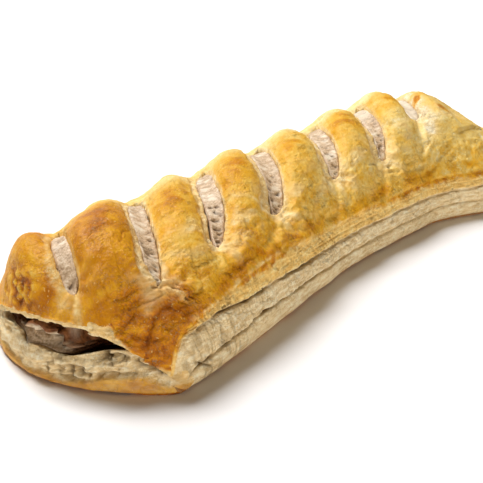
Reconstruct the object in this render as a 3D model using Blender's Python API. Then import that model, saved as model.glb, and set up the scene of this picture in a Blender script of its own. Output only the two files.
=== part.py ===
"""A bakery sausage roll: a slashed sheet of puff pastry wrapped round a log of sausage meat.

The roll lies along X with its near end at -X. Its sealed edge, where the cut layers of the
pastry show, faces -Y, and its fold faces +Y. The origin is the middle of the base.
"""

import math

import bmesh
import bpy
from mathutils import Vector, noise

MM = 0.001

# The whole roll
ROLL_LENGTH = 200 * MM
HALF = ROLL_LENGTH / 2
RIDGE_HEIGHT = 28 * MM
FOLD_REACH = 26 * MM  # from the middle line to the fold
FOLD_WIDEST_Z = 9 * MM
FOLD_TUCK = 5 * MM  # how far the base stops short of the fold
BASE_ROUNDING = 1.2 * MM

# The sealed edge, from its waist to its splayed corners
SEAM_WAIST = 23.4 * MM
SEAM_SPLAY = 4.8 * MM
SEAM_WAIST_X = -8 * MM
SEAM_WAIST_LENGTH = 42 * MM
FLARE = 9.5 * MM  # how much further the sealed edge reaches towards the far corner
FLARE_START, FLARE_FULL = 30 * MM, 60 * MM
FLARE_LOSS = 0.35  # the share of it that is lost again at the end
SEAM_LEAN = 2.6 * MM  # the top of the cut edge stands this far inside its foot
SEAM_HEIGHT = 12.6 * MM
SEAM_SWELL = 3.6 * MM
SEAM_SWELL_X = -56 * MM
SEAM_SWELL_LENGTH = 26 * MM
SEAM_SHOULDER_POWER = 2.2
SEAM_FOOT_SHARE = 0.25  # the foot of the cut edge is rounded up to this share of its height
LAYER_GROOVES = (0.38, 0.72)  # shares of the cut edge's height
GROOVE_DEPTH = 1.1 * MM
GROOVE_HALF_WIDTH = 0.055  # share of the cut edge's height

# The two ends: a steep one at -X and a long sloping one at +X
NEAR_TAPER_EDGE = 5 * MM  # close to the cut edge
NEAR_TAPER_SEAM = 15 * MM
NEAR_TAPER_FOLD = 9 * MM
NEAR_EDGE_Y, NEAR_EDGE_BLEND = -25 * MM, 8 * MM
TAPER_BLEND = 1.3  # the taper changes from seam to fold over this many times the fold's reach
FAR_TAPER = 46 * MM
TAPER_POWER = 2.5
FAR_DROP = 10 * MM  # the shoulder towards the cut edge sinks by this much at the far end
FAR_DROP_X, FAR_DROP_LENGTH = 74 * MM, 18 * MM
FAR_DROP_Y, FAR_DROP_REACH = -2.5 * MM, 7.5 * MM
FAR_DROP_POWER = 4
END_BOW = 11 * MM  # the middle of an end stands this far past its corners
BOW_REACH = 29 * MM
BOW_LENGTH = 60 * MM
LIP_HEIGHT = 15.4 * MM
LIP_Y = -5 * MM
LIP_DROP_SEAM = 10.8 * MM  # from its highest point to the sealed edge
LIP_DROP_FOLD = 7.5 * MM
LIP_SEAM_POWER = 2.2
FAR_LIP_SHARE = 0.78  # how high the far end stands compared with the near one

# The slashes across the top, one value for each
SLASH_CROSSINGS = [x * MM for x in (-92.4, -68, -41.6, -16.6, 12.2, 38.3, 61.2)]  # at the ridge
SLASH_SLANT = 1.02  # how far they run along X for each unit of Y
FIRST_SLANT_LOSS = 0.38  # the first slashes run more squarely across
FIRST_SLANT_LENGTH = 26 * MM
SLASH_BEND = 0.028 / MM  # how sharply a slash bends back below SLASH_BEND_Y
SLASH_BEND_Y = -6 * MM
SLASH_SEAM_TIPS = [y * MM for y in (-6.4, -18.4, -17, -15, -12.8, -14.6, -10)]
SLASH_FOLD_TIPS = [y * MM for y in (12.5, 12, 12, 12.5, 11, 10, 9)]
SLASH_WIDTHS = [x * MM for x in (5.7, 7, 7.4, 8.9, 7.8, 7.2, 8.4)]  # along X
SLASH_SIDE_POINTS = 9
SLASH_ROUNDING = 6  # a higher power makes the tips blunter
SLASH_BOTTOM = 15.4 * MM
SLASH_CUTTER_TOP = 36 * MM
BAND_SWELL = 1.6 * MM  # the bands between slashes rise and dip by this much
BAND_SWELL_FULL, BAND_SWELL_REACH = 13 * MM, 25 * MM  # from the middle line

# The pastry round the meat
CRUST = 2.9 * MM
BASE_PASTRY = 5 * MM
SEAM_PASTRY = 6.2 * MM
FOLD_PASTRY = 3.4 * MM
END_BASE_PASTRY = 7.4 * MM
MOUTH_LIP = 1.8 * MM
MOUTH_SILL_FOLD = 2.2 * MM  # the base stands this much higher under the near mouth's fold side
MOUTH_SILL_FOLD_Y, MOUTH_SILL_FOLD_BLEND = 7 * MM, 4 * MM
MOUTH_SILL_SEAM = 2.6 * MM  # and by this much towards the cut edge
MOUTH_SILL_SEAM_Y, MOUTH_SILL_SEAM_BLEND = -6 * MM, 10 * MM
MOUTH_GAP = 4.6 * MM  # the free space over the meat at a mouth
MOUTH_DEPTH = 17 * MM
MEAT_RECESS = 3.5 * MM  # from the pastry's end to the meat's end
THINNEST_MEAT = 1.4 * MM  # where the mouth closes towards its corners
CLEARANCE = 0.3 * MM
MEAT_WAIST = 0.42  # where the meat is widest, as a share of its height
MEAT_ACROSS_POWER, MEAT_TOP_POWER, MEAT_BASE_POWER = 0.8, 0.5, 0.6  # below 1 is squarer
LUMP_MIDDLE_Z = 12 * MM
LUMP_SIZE = 16 * MM
LUMP_DEPTH = 0.35 * MM

# How finely the lofts are cut
STATIONS = 54
END_CROWDING = 0.62  # how much closer together the stations lie at the ends
SHEAR_REACH = 13 * MM
SHEAR_FADE = 34 * MM
POINTS_BASE, POINTS_SEAM, POINTS_TOP, POINTS_FOLD, POINTS_UNDER = 6, 13, 12, 7, 4
MEAT_STATIONS = 34
MEAT_POINTS = 26
CAP_SHARES = (0.72, 0.4, 0.12)
CUTTER_PAST_END = 6 * MM


def smooth(t):
    """0 up to t = 0, 1 from t = 1, and an even S between."""
    t = min(1.0, max(0.0, t))
    return t * t * (3 - 2 * t)


def bump(x, middle, length):
    """A bell of height 1."""
    return math.exp(-(((x - middle) / length) ** 2))


def end_share(x, y):
    """0 at an end of the roll and 1 where the roll has its full section."""
    taper = FAR_TAPER
    if x < 0:
        across = smooth((y + FOLD_REACH / 2) / (FOLD_REACH * TAPER_BLEND))
        taper = NEAR_TAPER_SEAM + (NEAR_TAPER_FOLD - NEAR_TAPER_SEAM) * across
        inwards = smooth((y - NEAR_EDGE_Y) / NEAR_EDGE_BLEND)
        taper = NEAR_TAPER_EDGE + (taper - NEAR_TAPER_EDGE) * inwards
    inside = max(0.0, HALF - abs(x))
    return 1 - (1 - min(1.0, inside / taper)) ** TAPER_POWER


def bowed(x, y):
    """x moved back towards the middle where the ends curve round to their corners."""
    near_end = 1 - smooth((HALF - abs(x)) / BOW_LENGTH)
    across = min(abs(y), BOW_REACH) / FOLD_REACH
    return x - math.copysign(END_BOW * near_end * across**2, x)


def sheared(x, y):
    """x moved so that the stations follow the slashes across the top."""
    reach = min(SHEAR_REACH, max(-SHEAR_REACH, y))
    return x + SLASH_SLANT * reach * smooth((HALF - abs(x)) / SHEAR_FADE)


def seam_reach(x):
    """The distance from the middle line to the foot of the sealed edge."""
    splay = SEAM_SPLAY * (1 - bump(x, SEAM_WAIST_X, SEAM_WAIST_LENGTH))
    flare = FLARE * smooth((x - FLARE_START) / (FLARE_FULL - FLARE_START))
    kept = 1 - FLARE_LOSS * smooth((x - FLARE_FULL) / (HALF - FLARE_FULL))
    return SEAM_WAIST + splay + flare * kept


def seam_height(x):
    return SEAM_HEIGHT + SEAM_SWELL * bump(x, SEAM_SWELL_X, SEAM_SWELL_LENGTH)


def slash_slant(x):
    return SLASH_SLANT - FIRST_SLANT_LOSS * bump(x, -HALF, FIRST_SLANT_LENGTH)


def slash_middle(index, y):
    """x along the middle of a slash, which bends back at its lower end."""
    crossing = SLASH_CROSSINGS[index]
    below = max(0.0, SLASH_BEND_Y - y)
    return crossing + slash_slant(crossing) * y - SLASH_BEND * below**2


def band_phase(x, y):
    """Whole numbers along the slashes, and halves along the middles of the bands between."""
    across = x - slash_slant(x) * y
    before = 2 * SLASH_CROSSINGS[0] - SLASH_CROSSINGS[1]
    after = 2 * SLASH_CROSSINGS[-1] - SLASH_CROSSINGS[-2]
    knots = [before, *SLASH_CROSSINGS, after]
    across = min(after, max(before, across))
    for i, (start, stop) in enumerate(zip(knots, knots[1:])):
        if across <= stop:
            return i - 1 + (across - start) / (stop - start)


def band_swell(x, y):
    """How far the bands between the slashes stand above or below the plain roll."""
    wave = -math.cos(2 * math.pi * band_phase(x, y))
    fading = (abs(y) - BAND_SWELL_FULL) / (BAND_SWELL_REACH - BAND_SWELL_FULL)
    return BAND_SWELL * wave * (1 - smooth(fading))


def far_drop(x, y, share):
    """How far the shoulder towards the cut edge sinks near the far end."""
    along = smooth((x - FAR_DROP_X) / FAR_DROP_LENGTH)
    across = smooth((FAR_DROP_Y - y) / FAR_DROP_REACH)
    return FAR_DROP * along * across * (1 - share**FAR_DROP_POWER)


def full_top(x, y):
    """The height of the top over (x, y) away from the ends."""
    if y < 0:
        share = min(1.0, -y / (seam_reach(x) - SEAM_LEAN))
        rise = (RIDGE_HEIGHT - seam_height(x)) * (1 - share**SEAM_SHOULDER_POWER)
        return seam_height(x) + rise - far_drop(x, y, share) + band_swell(x, y)
    share = min(1.0, y / FOLD_REACH)
    rise = (RIDGE_HEIGHT - FOLD_WIDEST_Z) * math.sqrt(1 - share**2)
    return FOLD_WIDEST_Z + rise + band_swell(x, y)


def lip_share(x):
    return 1.0 if x < 0 else FAR_LIP_SHARE


def lip_top(x, y):
    """The height of the upper lip at the end nearest to x."""
    if y < LIP_Y:
        corner = seam_reach(math.copysign(HALF, x)) - SEAM_LEAN
        drop = LIP_DROP_SEAM * ((LIP_Y - y) / (corner + LIP_Y)) ** LIP_SEAM_POWER
    else:
        drop = LIP_DROP_FOLD * ((y - LIP_Y) / (FOLD_REACH - LIP_Y)) ** 2
    return (LIP_HEIGHT - drop) * lip_share(x)


def groove(share):
    """How deep the cut edge is grooved at this share of its height, from 0 to 1."""
    return max(max(0.0, 1 - abs(share - g) / GROOVE_HALF_WIDTH) for g in LAYER_GROOVES)


def base_point(x, share):
    """A point of the base, from the fold to the sealed edge."""
    start = FOLD_REACH - FOLD_TUCK
    y = start + (BASE_ROUNDING - seam_reach(x) - start) * share
    return y, 0.0, 0.0


def seam_point(x, share):
    """A point of the cut layers, from the base up."""
    rounding = BASE_ROUNDING * (1 - math.sin(min(1.0, share / SEAM_FOOT_SHARE) * math.pi / 2))
    foot = -seam_reach(x)
    y = foot + rounding + SEAM_LEAN * share**2 + GROOVE_DEPTH * groove(share)
    end = (LIP_HEIGHT - LIP_DROP_SEAM) * lip_share(x) * share
    return y, seam_height(x) * share, end


def top_point(x, share):
    """A point of the top, from the cut edge to the ridge."""
    y = (SEAM_LEAN - seam_reach(x)) * (1 - share)
    return y, full_top(x, y), lip_top(x, y)


def fold_point(x, share):
    """A point of the far side, from the ridge down to where it is widest."""
    y = FOLD_REACH * math.sin(math.pi / 2 * share)
    return y, full_top(x, y), lip_top(x, y)


def under_point(x, share):
    """A point under the fold, from where it is widest down to the base."""
    turn = math.pi / 2 * share
    y = FOLD_REACH - FOLD_TUCK * (1 - math.cos(turn))
    height = 1 - math.sin(turn)
    end = (LIP_HEIGHT - LIP_DROP_FOLD) * lip_share(x) * height
    return y, FOLD_WIDEST_Z * height, end


def pastry_ring(x):
    """One closed ring of the pastry's outside, from the fold under the base and over the top."""
    plan = [(base_point, i / POINTS_BASE) for i in range(POINTS_BASE)]
    plan += [(seam_point, i / (POINTS_SEAM - 1)) for i in range(POINTS_SEAM)]
    plan += [(top_point, i / POINTS_TOP) for i in range(1, POINTS_TOP + 1)]
    plan += [(fold_point, i / POINTS_FOLD) for i in range(1, POINTS_FOLD + 1)]
    plan += [(under_point, i / POINTS_UNDER) for i in range(1, POINTS_UNDER)]
    ring = []
    for place, share in plan:
        at = sheared(x, place(x, share)[0])
        y, full, end = place(at, share)
        ring.append(Vector((bowed(at, y), y, end + (full - end) * end_share(at, y))))
    return ring


def roof(x, y):
    """The height of the underside of the top crust."""
    under = lip_top(x, y) - MOUTH_LIP
    return under + (full_top(x, y) - CRUST - under) * end_share(x, y)


def floor_under_meat(x, y):
    """The height of the pastry under the meat, with the sills of the near mouth."""
    floor = END_BASE_PASTRY + (BASE_PASTRY - END_BASE_PASTRY) * end_share(x, 0.0)
    fold_sill = MOUTH_SILL_FOLD * smooth((y - MOUTH_SILL_FOLD_Y) / MOUTH_SILL_FOLD_BLEND)
    seam_sill = MOUTH_SILL_SEAM * smooth((MOUTH_SILL_SEAM_Y - y) / MOUTH_SILL_SEAM_BLEND)
    near_mouth = 1 - smooth((x + HALF) / MOUTH_DEPTH)
    return floor + (fold_sill + seam_sill) * near_mouth


def meat_ring(x, grow, lowered=0.0):
    """One closed ring of the space in the pastry, or of the meat when grow is negative."""
    seam = SEAM_PASTRY - seam_reach(x) - grow
    fold = FOLD_REACH - FOLD_PASTRY + grow
    ring = []
    for i in range(MEAT_POINTS):
        turn = 2 * math.pi * (i + 0.5) / MEAT_POINTS
        across = math.copysign(abs(math.cos(turn)) ** MEAT_ACROSS_POWER, math.cos(turn))
        y = (seam + fold) / 2 + (fold - seam) / 2 * across
        base = min(floor_under_meat(x, y), roof(x, y) - THINNEST_MEAT) - grow
        top = roof(x, y) + grow
        waist = base + (top - base) * MEAT_WAIST
        top = max(waist, top - lowered)
        if math.sin(turn) > 0:
            z = waist + (top - waist) * math.sin(turn) ** MEAT_TOP_POWER
        else:
            z = waist - (waist - base) * (-math.sin(turn)) ** MEAT_BASE_POWER
        ring.append(Vector((bowed(x, y), y, z)))
    return ring


def stations(count, first, last):
    """x from first to last, closer together towards both ends."""
    for i in range(count):
        share = i / (count - 1)
        eased = share - END_CROWDING * math.sin(2 * math.pi * share) / (2 * math.pi)
        yield first + (last - first) * eased


def end_cap(ring, x):
    """Smaller and smaller rings inside the last one, so that the end face keeps its bow."""
    middle = sum(point.z for point in ring) / len(ring)
    cap = []
    for share in CAP_SHARES:
        inner = [Vector((0, p.y * share, middle + (p.z - middle) * share)) for p in ring]
        for point in inner:
            point.x = bowed(x, point.y)
        cap.append(inner)
    return cap


def close_across(built, loop):
    """Closes a ring whose first and last points face each other, and so on inwards."""
    last = len(loop) - 1
    for i in range(len(loop) // 2 - 1):
        built.faces.new((loop[i], loop[i + 1], loop[last - i - 1], loop[last - i]))


def loft(name, rings, collection, across=False):
    """One closed object through rings that all have the same number of points."""
    mesh = bpy.data.meshes.new(name)
    built = bmesh.new()
    loops = [[built.verts.new(point) for point in ring] for ring in rings]
    for one, other in zip(loops, loops[1:]):
        for i in range(len(one)):
            j = (i + 1) % len(one)
            built.faces.new((one[i], one[j], other[j], other[i]))
    for loop in (loops[0], loops[-1]):
        if across:
            close_across(built, loop)
        else:
            built.faces.new(loop)
    bmesh.ops.triangulate(built, faces=built.faces[:], quad_method="FIXED")
    bmesh.ops.recalc_face_normals(built, faces=built.faces[:])
    built.to_mesh(mesh)
    built.free()
    made = bpy.data.objects.new(name, mesh)
    collection.objects.link(made)
    return made


def pastry_outside(collection):
    rings = [pastry_ring(x) for x in stations(STATIONS, -HALF, HALF)]
    rings = end_cap(rings[0], -HALF)[::-1] + rings + end_cap(rings[-1], HALF)
    return loft("pastry", rings, collection)


def meat_stations():
    """The stations of the meat, from one of its ends to the other."""
    return list(stations(MEAT_STATIONS, MEAT_RECESS - HALF, HALF - MEAT_RECESS))


def meat_space(collection):
    """The space in the pastry, which runs out past both ends as their mouths."""
    rings = [meat_ring(x, 0.0) for x in [-HALF] + meat_stations() + [HALF]]
    past_near = [point - Vector((CUTTER_PAST_END, 0, 0)) for point in rings[0]]
    past_far = [point + Vector((CUTTER_PAST_END, 0, 0)) for point in rings[-1]]
    return loft("meat_space", [past_near] + rings + [past_far], collection, across=True)


def lumpy(point):
    """A point of the meat, pushed in a little where the mince is uneven."""
    depth = LUMP_DEPTH * (1 + noise.noise(point / LUMP_SIZE)) / 2
    middle = Vector((point.x, 0, LUMP_MIDDLE_Z))
    return point + (middle - point).normalized() * depth


def filling(collection):
    """The log of meat, which sinks away from the crust towards both mouths."""
    rings = []
    for x in meat_stations():
        inside = HALF - MEAT_RECESS - abs(x)
        gap = MOUTH_GAP * (1 - smooth(inside / MOUTH_DEPTH))
        rings.append([lumpy(point) for point in meat_ring(x, -CLEARANCE, gap)])
    return loft("filling", rings, collection, across=True)


def slash_cutter(index, collection):
    """A long block with rounded tips that opens one slash through the crust."""
    middle = (SLASH_SEAM_TIPS[index] + SLASH_FOLD_TIPS[index]) / 2
    reach = (SLASH_FOLD_TIPS[index] - SLASH_SEAM_TIPS[index]) / 2
    outline = []
    for side in (1, -1):
        for i in range(SLASH_SIDE_POINTS):
            along = side * math.cos(math.pi * i / SLASH_SIDE_POINTS)
            y = middle + along * reach
            rounded = math.sqrt(max(0.0, 1 - along**SLASH_ROUNDING))
            half_width = side * SLASH_WIDTHS[index] / 2 * rounded
            outline.append((slash_middle(index, y) + half_width, y))
    rings = [[Vector((x, y, z)) for x, y in outline] for z in (SLASH_BOTTOM, SLASH_CUTTER_TOP)]
    return loft(f"slash_{index}", rings, collection)


def cut(target, cutter):
    cutter.hide_render = True
    cutter.display_type = "WIRE"
    modifier = target.modifiers.new(f"cut_{cutter.name}", "BOOLEAN")
    modifier.operation = "DIFFERENCE"
    modifier.object = cutter


def paint(thing, name, colour, roughness):
    material = bpy.data.materials.new(name)
    material.use_nodes = True
    shader = material.node_tree.nodes["Principled BSDF"]
    shader.inputs["Base Color"].default_value = (*colour, 1)
    shader.inputs["Roughness"].default_value = roughness
    shader.inputs["Metallic"].default_value = 0
    thing.data.materials.append(material)


def centre_on_base(things):
    """Moves everything so that the middle of the roll's base is the origin."""
    corners = [Vector(corner) for corner in things[0].bound_box]
    middle_x = (min(c.x for c in corners) + max(c.x for c in corners)) / 2
    middle_y = (min(c.y for c in corners) + max(c.y for c in corners)) / 2
    for thing in things:
        thing.location = Vector((-middle_x, -middle_y, 0))


def main():
    for old in list(bpy.data.objects):
        bpy.data.objects.remove(old)
    roll = bpy.data.collections.new("sausage_roll")
    cutters = bpy.data.collections.new("cutters")
    for collection in (roll, cutters):
        bpy.context.scene.collection.children.link(collection)
    pastry = pastry_outside(roll)
    meat = filling(roll)
    space = meat_space(cutters)
    slashes = [slash_cutter(i, cutters) for i in range(len(SLASH_WIDTHS))]
    for cutter in [space] + slashes:
        cut(pastry, cutter)
    paint(pastry, "baked_pastry", (0.72, 0.42, 0.13), 0.55)
    paint(meat, "sausage_meat", (0.52, 0.38, 0.30), 0.7)
    centre_on_base([pastry, meat, space] + slashes)


main()
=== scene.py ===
import functools
import itertools
import math
from types import SimpleNamespace

import bmesh
import bpy
import numpy as np
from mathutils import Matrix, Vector


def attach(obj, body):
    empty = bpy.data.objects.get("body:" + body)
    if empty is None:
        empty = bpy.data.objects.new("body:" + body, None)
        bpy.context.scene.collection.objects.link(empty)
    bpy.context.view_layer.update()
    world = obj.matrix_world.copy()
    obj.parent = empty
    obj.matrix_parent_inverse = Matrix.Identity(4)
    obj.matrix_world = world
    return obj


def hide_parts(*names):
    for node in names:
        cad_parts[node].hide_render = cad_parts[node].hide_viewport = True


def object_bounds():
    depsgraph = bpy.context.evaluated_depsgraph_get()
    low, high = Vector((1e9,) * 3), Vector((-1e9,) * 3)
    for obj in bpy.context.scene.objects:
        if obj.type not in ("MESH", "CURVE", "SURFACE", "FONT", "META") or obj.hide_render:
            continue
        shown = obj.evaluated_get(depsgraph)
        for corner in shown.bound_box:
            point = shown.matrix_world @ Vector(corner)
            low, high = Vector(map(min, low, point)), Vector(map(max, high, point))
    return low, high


# The looks of a slashed sausage roll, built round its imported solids. Shapes are worked out in
# millimetres in the roll's own frame, where the ridge is at y = 0, and become metres in add_mesh.
# The near end is at -X, the cut edge that shows the layers faces -Y and the fold faces +Y.
# The crust starts as the plain roll's grid of points. Each step from puff_bands to shape_sides adds
# its relief to them, crust_colours gives them their fields, and the torn ends and the meat's space
# are then cut out of it. The materials take their colours from the fields.

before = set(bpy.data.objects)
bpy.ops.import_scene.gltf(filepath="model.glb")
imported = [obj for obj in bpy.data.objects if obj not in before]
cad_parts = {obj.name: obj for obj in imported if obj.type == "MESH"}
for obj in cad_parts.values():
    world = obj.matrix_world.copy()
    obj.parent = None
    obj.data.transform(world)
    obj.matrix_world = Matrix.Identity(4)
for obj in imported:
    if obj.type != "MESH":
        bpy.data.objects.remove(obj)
cad_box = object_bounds()

MM = 0.001

# The whole roll
HALF = (cad_box[1].x - cad_box[0].x) / 2 / MM
FOLD_REACH = 26.0
FOLD_SHIFT = cad_box[1].y / MM - FOLD_REACH  # the ridge stands this far to +Y of the box's middle
BAND_SWELL = 1.6
RIDGE_HEIGHT = cad_box[1].z / MM - BAND_SWELL
FOLD_WIDEST_Z = 9.0
FOLD_TUCK = 5.0
BASE_ROUNDING = 1.2
FAR_DROP = 10.0  # the shoulder towards the cut edge sinks by this much at the far end
FAR_DROP_X, FAR_DROP_LENGTH = 74.0, 18.0
FAR_DROP_Y, FAR_DROP_REACH = -2.5, 7.5

# The cut edge
SEAM_WAIST = 23.4
SEAM_SPLAY = 4.8
SEAM_WAIST_X, SEAM_WAIST_LENGTH = -8.0, 42.0
FLARE = 9.5
FLARE_START, FLARE_FULL = 30.0, 60.0
FLARE_LOSS = 0.35
SEAM_LEAN = 2.6
SEAM_HEIGHT = 12.6
SEAM_SWELL = 3.6
SEAM_SWELL_X, SEAM_SWELL_LENGTH = -56.0, 26.0
SHOULDER_POWER = 2.2
LAYER_GROOVES = (0.38, 0.69)  # the two long grooves, as shares of the cut edge's height
GROOVE_RISE = 0.2  # the upper groove climbs by this share towards the near corner
GROOVE_RISE_X, GROOVE_RISE_LENGTH = -58.0, 28.0
FLANK_SHEET, NEAR_SHEET, FAR_SHEET = 0.9, 0.95, 1.1  # how thick the thin sheets of baked layers are
FLANK_BLOCKS = (3.9, 5.2)  # how long the blocks between the cracks are, in the middle and upper band
# for the cut edge's lower, middle and upper band: how far it bulges and stands out, how uneven and
# rough it is, and how torn its sheets are
BAND_BULGE, BAND_OUT, BAND_UNEVEN = (0.3, 0.22, 0.1), (0.1, 0.05, 0.0), (0, 1, 1)
BAND_ROUGH, BAND_TORN = (0.05, 0.16, 0.14), (0.2, 1, 0.8)
# x and z along the foot of the crust that laps over the cut edge's near corner
TONGUE_FOOT = ((-100.5, 5), (-98.9, 8.2), (-97.7, 10.4), (-95.8, 11.8), (-90, 12.7), (-84, 13.6), (-78, 15))

# The two ends
NEAR_TAPER_EDGE, NEAR_TAPER_SEAM, NEAR_TAPER_FOLD = 5.0, 15.0, 9.0
NEAR_EDGE_Y, NEAR_EDGE_BLEND = -25.0, 8.0
FAR_TAPER = 46.0
TAPER_POWER = 2.5
END_BOW = 11.0
BOW_REACH, BOW_LENGTH = 29.0, 60.0
LIP_HEIGHT, LIP_Y = 15.4, -5.0
LIP_DROP_SEAM, LIP_DROP_FOLD = 10.8, 7.5
LIP_POWER = 2.2
FAR_LIP_SHARE = 0.78  # how high the far end stands compared with the near one

# The slashes
SLASH_CROSSINGS = (-92.4, -68.0, -41.6, -16.6, 12.2, 38.3, 61.2)  # where each crosses the ridge
SLASH_SLANT = 1.02
FIRST_SLANT_LOSS, FIRST_SLANT_LENGTH = 0.38, 26.0
SLASH_BEND, SLASH_BEND_Y = 0.028, -6.0
SLASH_SEAM_TIPS = (-6.4, -18.4, -17.0, -15.0, -12.8, -14.6, -10.0)
SLASH_FOLD_TIPS = (12.5, 12.0, 12.0, 12.5, 11.0, 10.0, 9.0)
SLASH_WIDTHS = (5.7, 7.0, 7.4, 8.9, 7.8, 7.2, 8.4)
SLASH_VISIBLE = 0.86  # the meat shows across this share of a slash, and a bevel takes the rest
SLASH_DEPTH = 1.3  # how far below the crust's underside a slash is cut
SLASH_TIP_DEPTH = 2.5  # and how much further at its tip towards the cut edge
SLASH_ZONE = 22.0  # no slash reaches further than this from the ridge
SWELL_FULL, SWELL_REACH = 13.0, 25.0
LOBE_RISE = (0.4, 1.5, -0.4, 0.9, -0.1, 0.1, 1.0, 0.0)  # each band between the slashes is puffed up by this
LOBE_BAKE = (0.53, 0.56, 0.38, 0.38, 0.29, 0.31, 0.25, 0.22)  # and is as brown as this
UNDERSIDE_BAKE = 0.8  # the base is this brown

# Small marks: on the crust as x and y, and on the torn near end as y and z
BLISTERS = (-98.6, 8.5)
TIP_GROOVE = ((-96.4, -6.0), (-99.8, -9.0))  # from the first slash's tip to the lip
BROWN_DAB = (-97.3, -0.3)
DARK_SPOTS = ((63.5, -3.8, 1.3, 1.6), (61.5, -14.0, 1.2, 2.2))  # each with its flattening and its size
CORNER_SLIT = ((-19.2, 7.2), (-23.4, 4.8))
# the dark lines are thin cracks whose dark colour is painted shade
DARK_LINES = (((-3.5, 2.2), (-9.5, 2.5)), ((-13, 4.1), (-19.5, 4.5)))
HOLE, CURL = (-13.8, 8.0), (-16.0, 8.4)

# The pastry round the meat
CRUST = 2.9
BASE_PASTRY, SEAM_PASTRY, FOLD_PASTRY = 5.0, 6.2, 3.4
END_BASE_PASTRY = 7.4
MOUTH_LIP, MOUTH_GAP, MOUTH_DEPTH = 1.8, 4.6, 17.0
MOUTH_SILL = 2.2  # the pastry under the near mouth stands this much higher towards the fold
SEAM_SILL = 2.6  # and by this much towards the cut edge
MEAT_RECESS = 3.5
THINNEST_MEAT = 1.4
MEAT_WIDEST = 0.42  # the share of its height where the meat is widest
CLEARANCE = 0.3
MEAT_MIDDLE_Z = 12.0
MEAT_BELOW_CRUST = 1.0  # how far the mince lies under the crust's own level in a slash
LUMP_TOP = 13.2  # the height of the lump of mince that shows in the near mouth
LUMP_Y = (-9.5, 9.5)  # it lies between these
# y and z along the top of its grey front, with dark juices and painted shade above
LUMP_EDGE = ((-9.5, 8.6), (-6.0, 9.4), (-3.2, 10.2), (0.0, 10.9), (4.7, 11.3), (8.5, 11.0))
STRAND = ((4.5, 11.8), (-4.5, 8.4))  # a pale string of fat hanging before it

# How finely the meshes are cut
STATIONS = 466
NEAR_CROWDING = 0.62  # the stations' spacing at the near end, as a share of the even spacing
SHEAR_REACH, SHEAR_FADE = 13.0, 34.0
LINES_BASE, LINES_TOP, LINES_FOLD, LINES_UNDER = 8, 70, 34, 6
BAND_LINES = (14, 14, 17)  # across each of the cut edge's three bands
GROOVE_LINES = 5
GROOVE_SPREAD = 0.022
LINES_SEAM = sum(BAND_LINES) + 2 * GROOVE_LINES + 1
PAST_END = 5.0
PASTRY_CAP_SHARES = (0.72, 0.4, 0.12)  # the rings that close an end, as shares of the end's own ring
MEAT_CAP_SHARES = np.linspace(0.94, 0.04, 16)
MOUTH_STEPS = (0.5, 4.0, 0.9)  # the meat space's stations: at the near mouth, between, at the far mouth
MOUTH_REACH = 22.0
SPACE_LINES = 96
MEAT_STEP = 0.46
MEAT_LINES_UNDER, MEAT_LINES_OVER = 22, 150
NEAR_END_STEPS, FAR_END_STEPS = (0.3, 0.27), (0.6, 0.5)  # the end cutters' grids, across and up
CUTTER_Y, CUTTER_Z, CUTTER_DEPTH = (-36, 34), (-2, 22), 30
SPACE_PAST_END = 8.0
GAP_ROUNDS = 6


def unit(value):
    """The value, held between 0 and 1."""
    return np.clip(value, 0.0, 1.0)


def most(*fields):
    """The highest of the fields at each point."""
    return functools.reduce(np.maximum, fields)


def smooth(t):
    """0 up to t = 0, 1 from t = 1, and an even S between."""
    t = unit(t)
    return t * t * (3 - 2 * t)


def rising(value, start, length):
    """0 up to the start, then an even S to 1 over the length."""
    return smooth((value - start) / length)


def falling(value, start, length):
    """0 down to the start, then an even S to 1 over the length below it."""
    return smooth((start - value) / length)


def bell(x, middle, length):
    """1 at the middle, falling away on both sides of it."""
    return np.exp(-(((x - middle) / length) ** 2))


def mixed(a, b, share):
    """a where the share is 0, b where it is 1."""
    return a + (b - a) * share


def stacked(*axes):
    """Points from their coordinates."""
    return np.stack(axes, axis=-1)


# ---- repeatable noise

NOISE_GAIN = 1.6  # brings most of the noise up to -1 to 1
SEED_SHIFT = 0.37  # moves the noise's grid by this many cells from one seed to the next
NUMBER_SEED = 7  # added to the seed that places a cell's spot, for the cell's own number
HASH_PRIMES = np.array((73856093, 19349663, 83492791), np.uint64)  # one for each axis
SEED_PRIME, SEED_START = 2654435761, 97
HASH_MIXER, HASH_SHIFT = np.uint64(0x45D9F3B), np.uint64(16)
HASH_BITS = 32
LOW_BITS = np.uint64(2**HASH_BITS - 1)


def hashed(cell, seed):
    """A repeatable number from 0 to 1 for each whole-numbered cell."""
    n = np.bitwise_xor.reduce(cell.astype(np.int64).astype(np.uint64) * HASH_PRIMES, axis=-1)
    n = n ^ np.uint64(seed * SEED_PRIME + SEED_START)
    for _ in range(2):
        n = (n & LOW_BITS) * HASH_MIXER
        n = n ^ (n >> HASH_SHIFT)
    return (n & LOW_BITS) / 2.0**HASH_BITS


def noise(points, size, seed):
    """Smooth lumps about `size` apart, mostly from -1 to 1."""
    at = points / np.asarray(size, float) + SEED_SHIFT * seed
    cell = np.floor(at)
    inside = at - cell
    eased = inside**3 * (inside * (inside * 6 - 15) + 10)
    total = np.zeros(points.shape[:-1])
    for corner in itertools.product((0, 1), repeat=3):
        corner = np.array(corner)
        weight = np.prod(np.where(corner, eased, 1 - eased), axis=-1)
        lean = sum(
            (hashed(cell + corner, seed * 3 + axis) * 2 - 1) * (inside - corner)[..., axis]
            for axis in range(3)
        )
        total += weight * lean
    return total * NOISE_GAIN


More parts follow.
